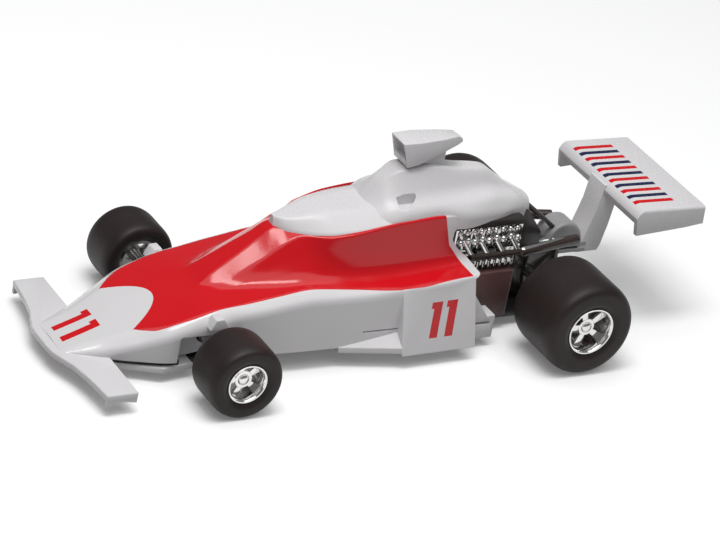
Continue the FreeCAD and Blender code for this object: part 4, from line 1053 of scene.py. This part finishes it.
class CAR_OT_stage(bpy.types.Operator):
    """Pale floor, soft studio light and the camera"""

    bl_idname = "racing_car.stage"
    bl_label = "Stage"

    def execute(self, context):
        self.floor()
        for lamp in LAMPS:
            self.light(*lamp)
        self.world(context.scene)
        self.camera(context.scene)
        context.scene.view_settings.view_transform = "Standard"
        return {"FINISHED"}

    def floor(self):
        """White floor just under the tyres that gives off less light than it shows."""
        shown, lighting, glow, gap = 0.97, 0.4, 0.12, 0.02
        fresh()
        bpy.ops.mesh.primitive_plane_add(size=6, location=(0, 0, -gap * MM))
        floor = bpy.context.object
        floor.name = "studio_floor"
        material = bpy.data.materials.new("Studio floor")
        material.use_nodes = True
        tree = material.node_tree
        shader = tree.nodes["Principled BSDF"]
        shader.inputs["Roughness"].default_value = 0.9
        path = node_of(tree, "ShaderNodeLightPath")
        seen = calc(
            tree, "MAXIMUM", path.outputs["Is Camera Ray"], path.outputs["Is Glossy Ray"]
        )
        shade = tint(tree, seen, (lighting,) * 3, (shown,) * 3)
        tree.links.new(shade, shader.inputs["Base Color"])
        shader.inputs["Emission Color"].default_value = (1, 1, 1, 1)
        tree.links.new(calc(tree, "MULTIPLY", seen, glow), shader.inputs["Emission Strength"])
        floor.data.materials.append(material)

    def light(self, name, spot, size, power):
        """Area lamp pointed at the car, its size given along and across the car."""
        fresh()
        bpy.ops.object.light_add(type="AREA", location=spot)
        lamp = bpy.context.object
        lamp.name = name
        lamp.data.shape = "RECTANGLE"
        lamp.data.size, lamp.data.size_y = size
        lamp.data.energy = power
        aim_height = 0.02
        back = (Vector(spot) - Vector((0, 0, aim_height))).normalized()
        along = (Vector((1, 0, 0)) - back * back.x).normalized()
        lamp.rotation_euler = Matrix((along, back.cross(along), back)).transposed().to_euler()

    def world(self, scene):
        """White surroundings that light the car only weakly."""
        world = scene.world or bpy.data.worlds.new("Studio")
        scene.world = world
        world.use_nodes = True
        tree = world.node_tree
        tree.nodes.clear()
        output = node_of(tree, "ShaderNodeOutputWorld")
        shown = node_of(tree, "ShaderNodeBackground")
        light = node_of(tree, "ShaderNodeBackground")
        light.inputs["Color"].default_value = (0.97, 0.98, 1.0, 1)
        light.inputs["Strength"].default_value = 0.2
        shown.inputs["Color"].default_value = (1, 1, 1, 1)
        mix = node_of(tree, "ShaderNodeMixShader")
        path = node_of(tree, "ShaderNodeLightPath")
        tree.links.new(path.outputs["Is Camera Ray"], mix.inputs[0])
        tree.links.new(light.outputs[0], mix.inputs[1])
        tree.links.new(shown.outputs[0], mix.inputs[2])
        tree.links.new(mix.outputs[0], output.inputs[0])

    def camera(self, scene):
        """Long lens at the photograph's angle, aimed at a point in the car's middle plane."""
        turn, rise, roll = radians(33.30), radians(27.98), radians(10.60)
        aim, distance = at(40.16, 0, 12.26), 734.3 * MM
        out = Vector((cos(rise) * sin(turn), cos(rise) * cos(turn), sin(rise)))
        flat = Vector((-cos(turn), sin(turn), 0))
        tall = Vector((-sin(rise) * sin(turn), -sin(rise) * cos(turn), cos(rise)))
        right = cos(roll) * flat + sin(roll) * tall
        up = -sin(roll) * flat + cos(roll) * tall
        fresh()
        bpy.ops.object.camera_add(location=aim + out * distance)
        camera = bpy.context.object
        camera.rotation_euler = Matrix((right, up, out)).transposed().to_euler()
        camera.data.sensor_width = 36
        camera.data.lens = 179.26
        camera.data.clip_start = 0.01
        scene.camera = camera


STEPS = (
    CAR_OT_body, CAR_OT_covers, CAR_OT_airbox, CAR_OT_rear_wing, CAR_OT_wheels, CAR_OT_engine,
    CAR_OT_tail, CAR_OT_floor, CAR_OT_finishes, CAR_OT_stage,
)


class CAR_PT_panel(bpy.types.Panel):
    """Buttons for the car's pieces"""

    bl_idname = "CAR_PT_panel"
    bl_label = "Racing car"
    bl_space_type = "VIEW_3D"
    bl_region_type = "UI"
    bl_category = "Racing car"

    def draw(self, context):
        for group in (context.scene.car_sizes, context.scene.car_colours):
            for name in group.bl_rna.properties.keys():
                if name not in ("rna_type", "name"):
                    self.layout.prop(group, name)
        for step in STEPS:
            self.layout.operator(step.bl_idname)


CLASSES = (CarSizes, CarColours, *STEPS, CAR_PT_panel)


def register():
    for cls in CLASSES:
        bpy.utils.register_class(cls)
    bpy.types.Scene.car_sizes = PointerProperty(type=CarSizes)
    bpy.types.Scene.car_colours = PointerProperty(type=CarColours)


def unregister():
    del bpy.types.Scene.car_colours
    del bpy.types.Scene.car_sizes
    for cls in reversed(CLASSES):
        bpy.utils.unregister_class(cls)


def main():
    register()
    for step in STEPS:
        group, name = step.bl_idname.split(".")
        getattr(getattr(bpy.ops, group), name)()


if __name__ == "__main__":
    main()
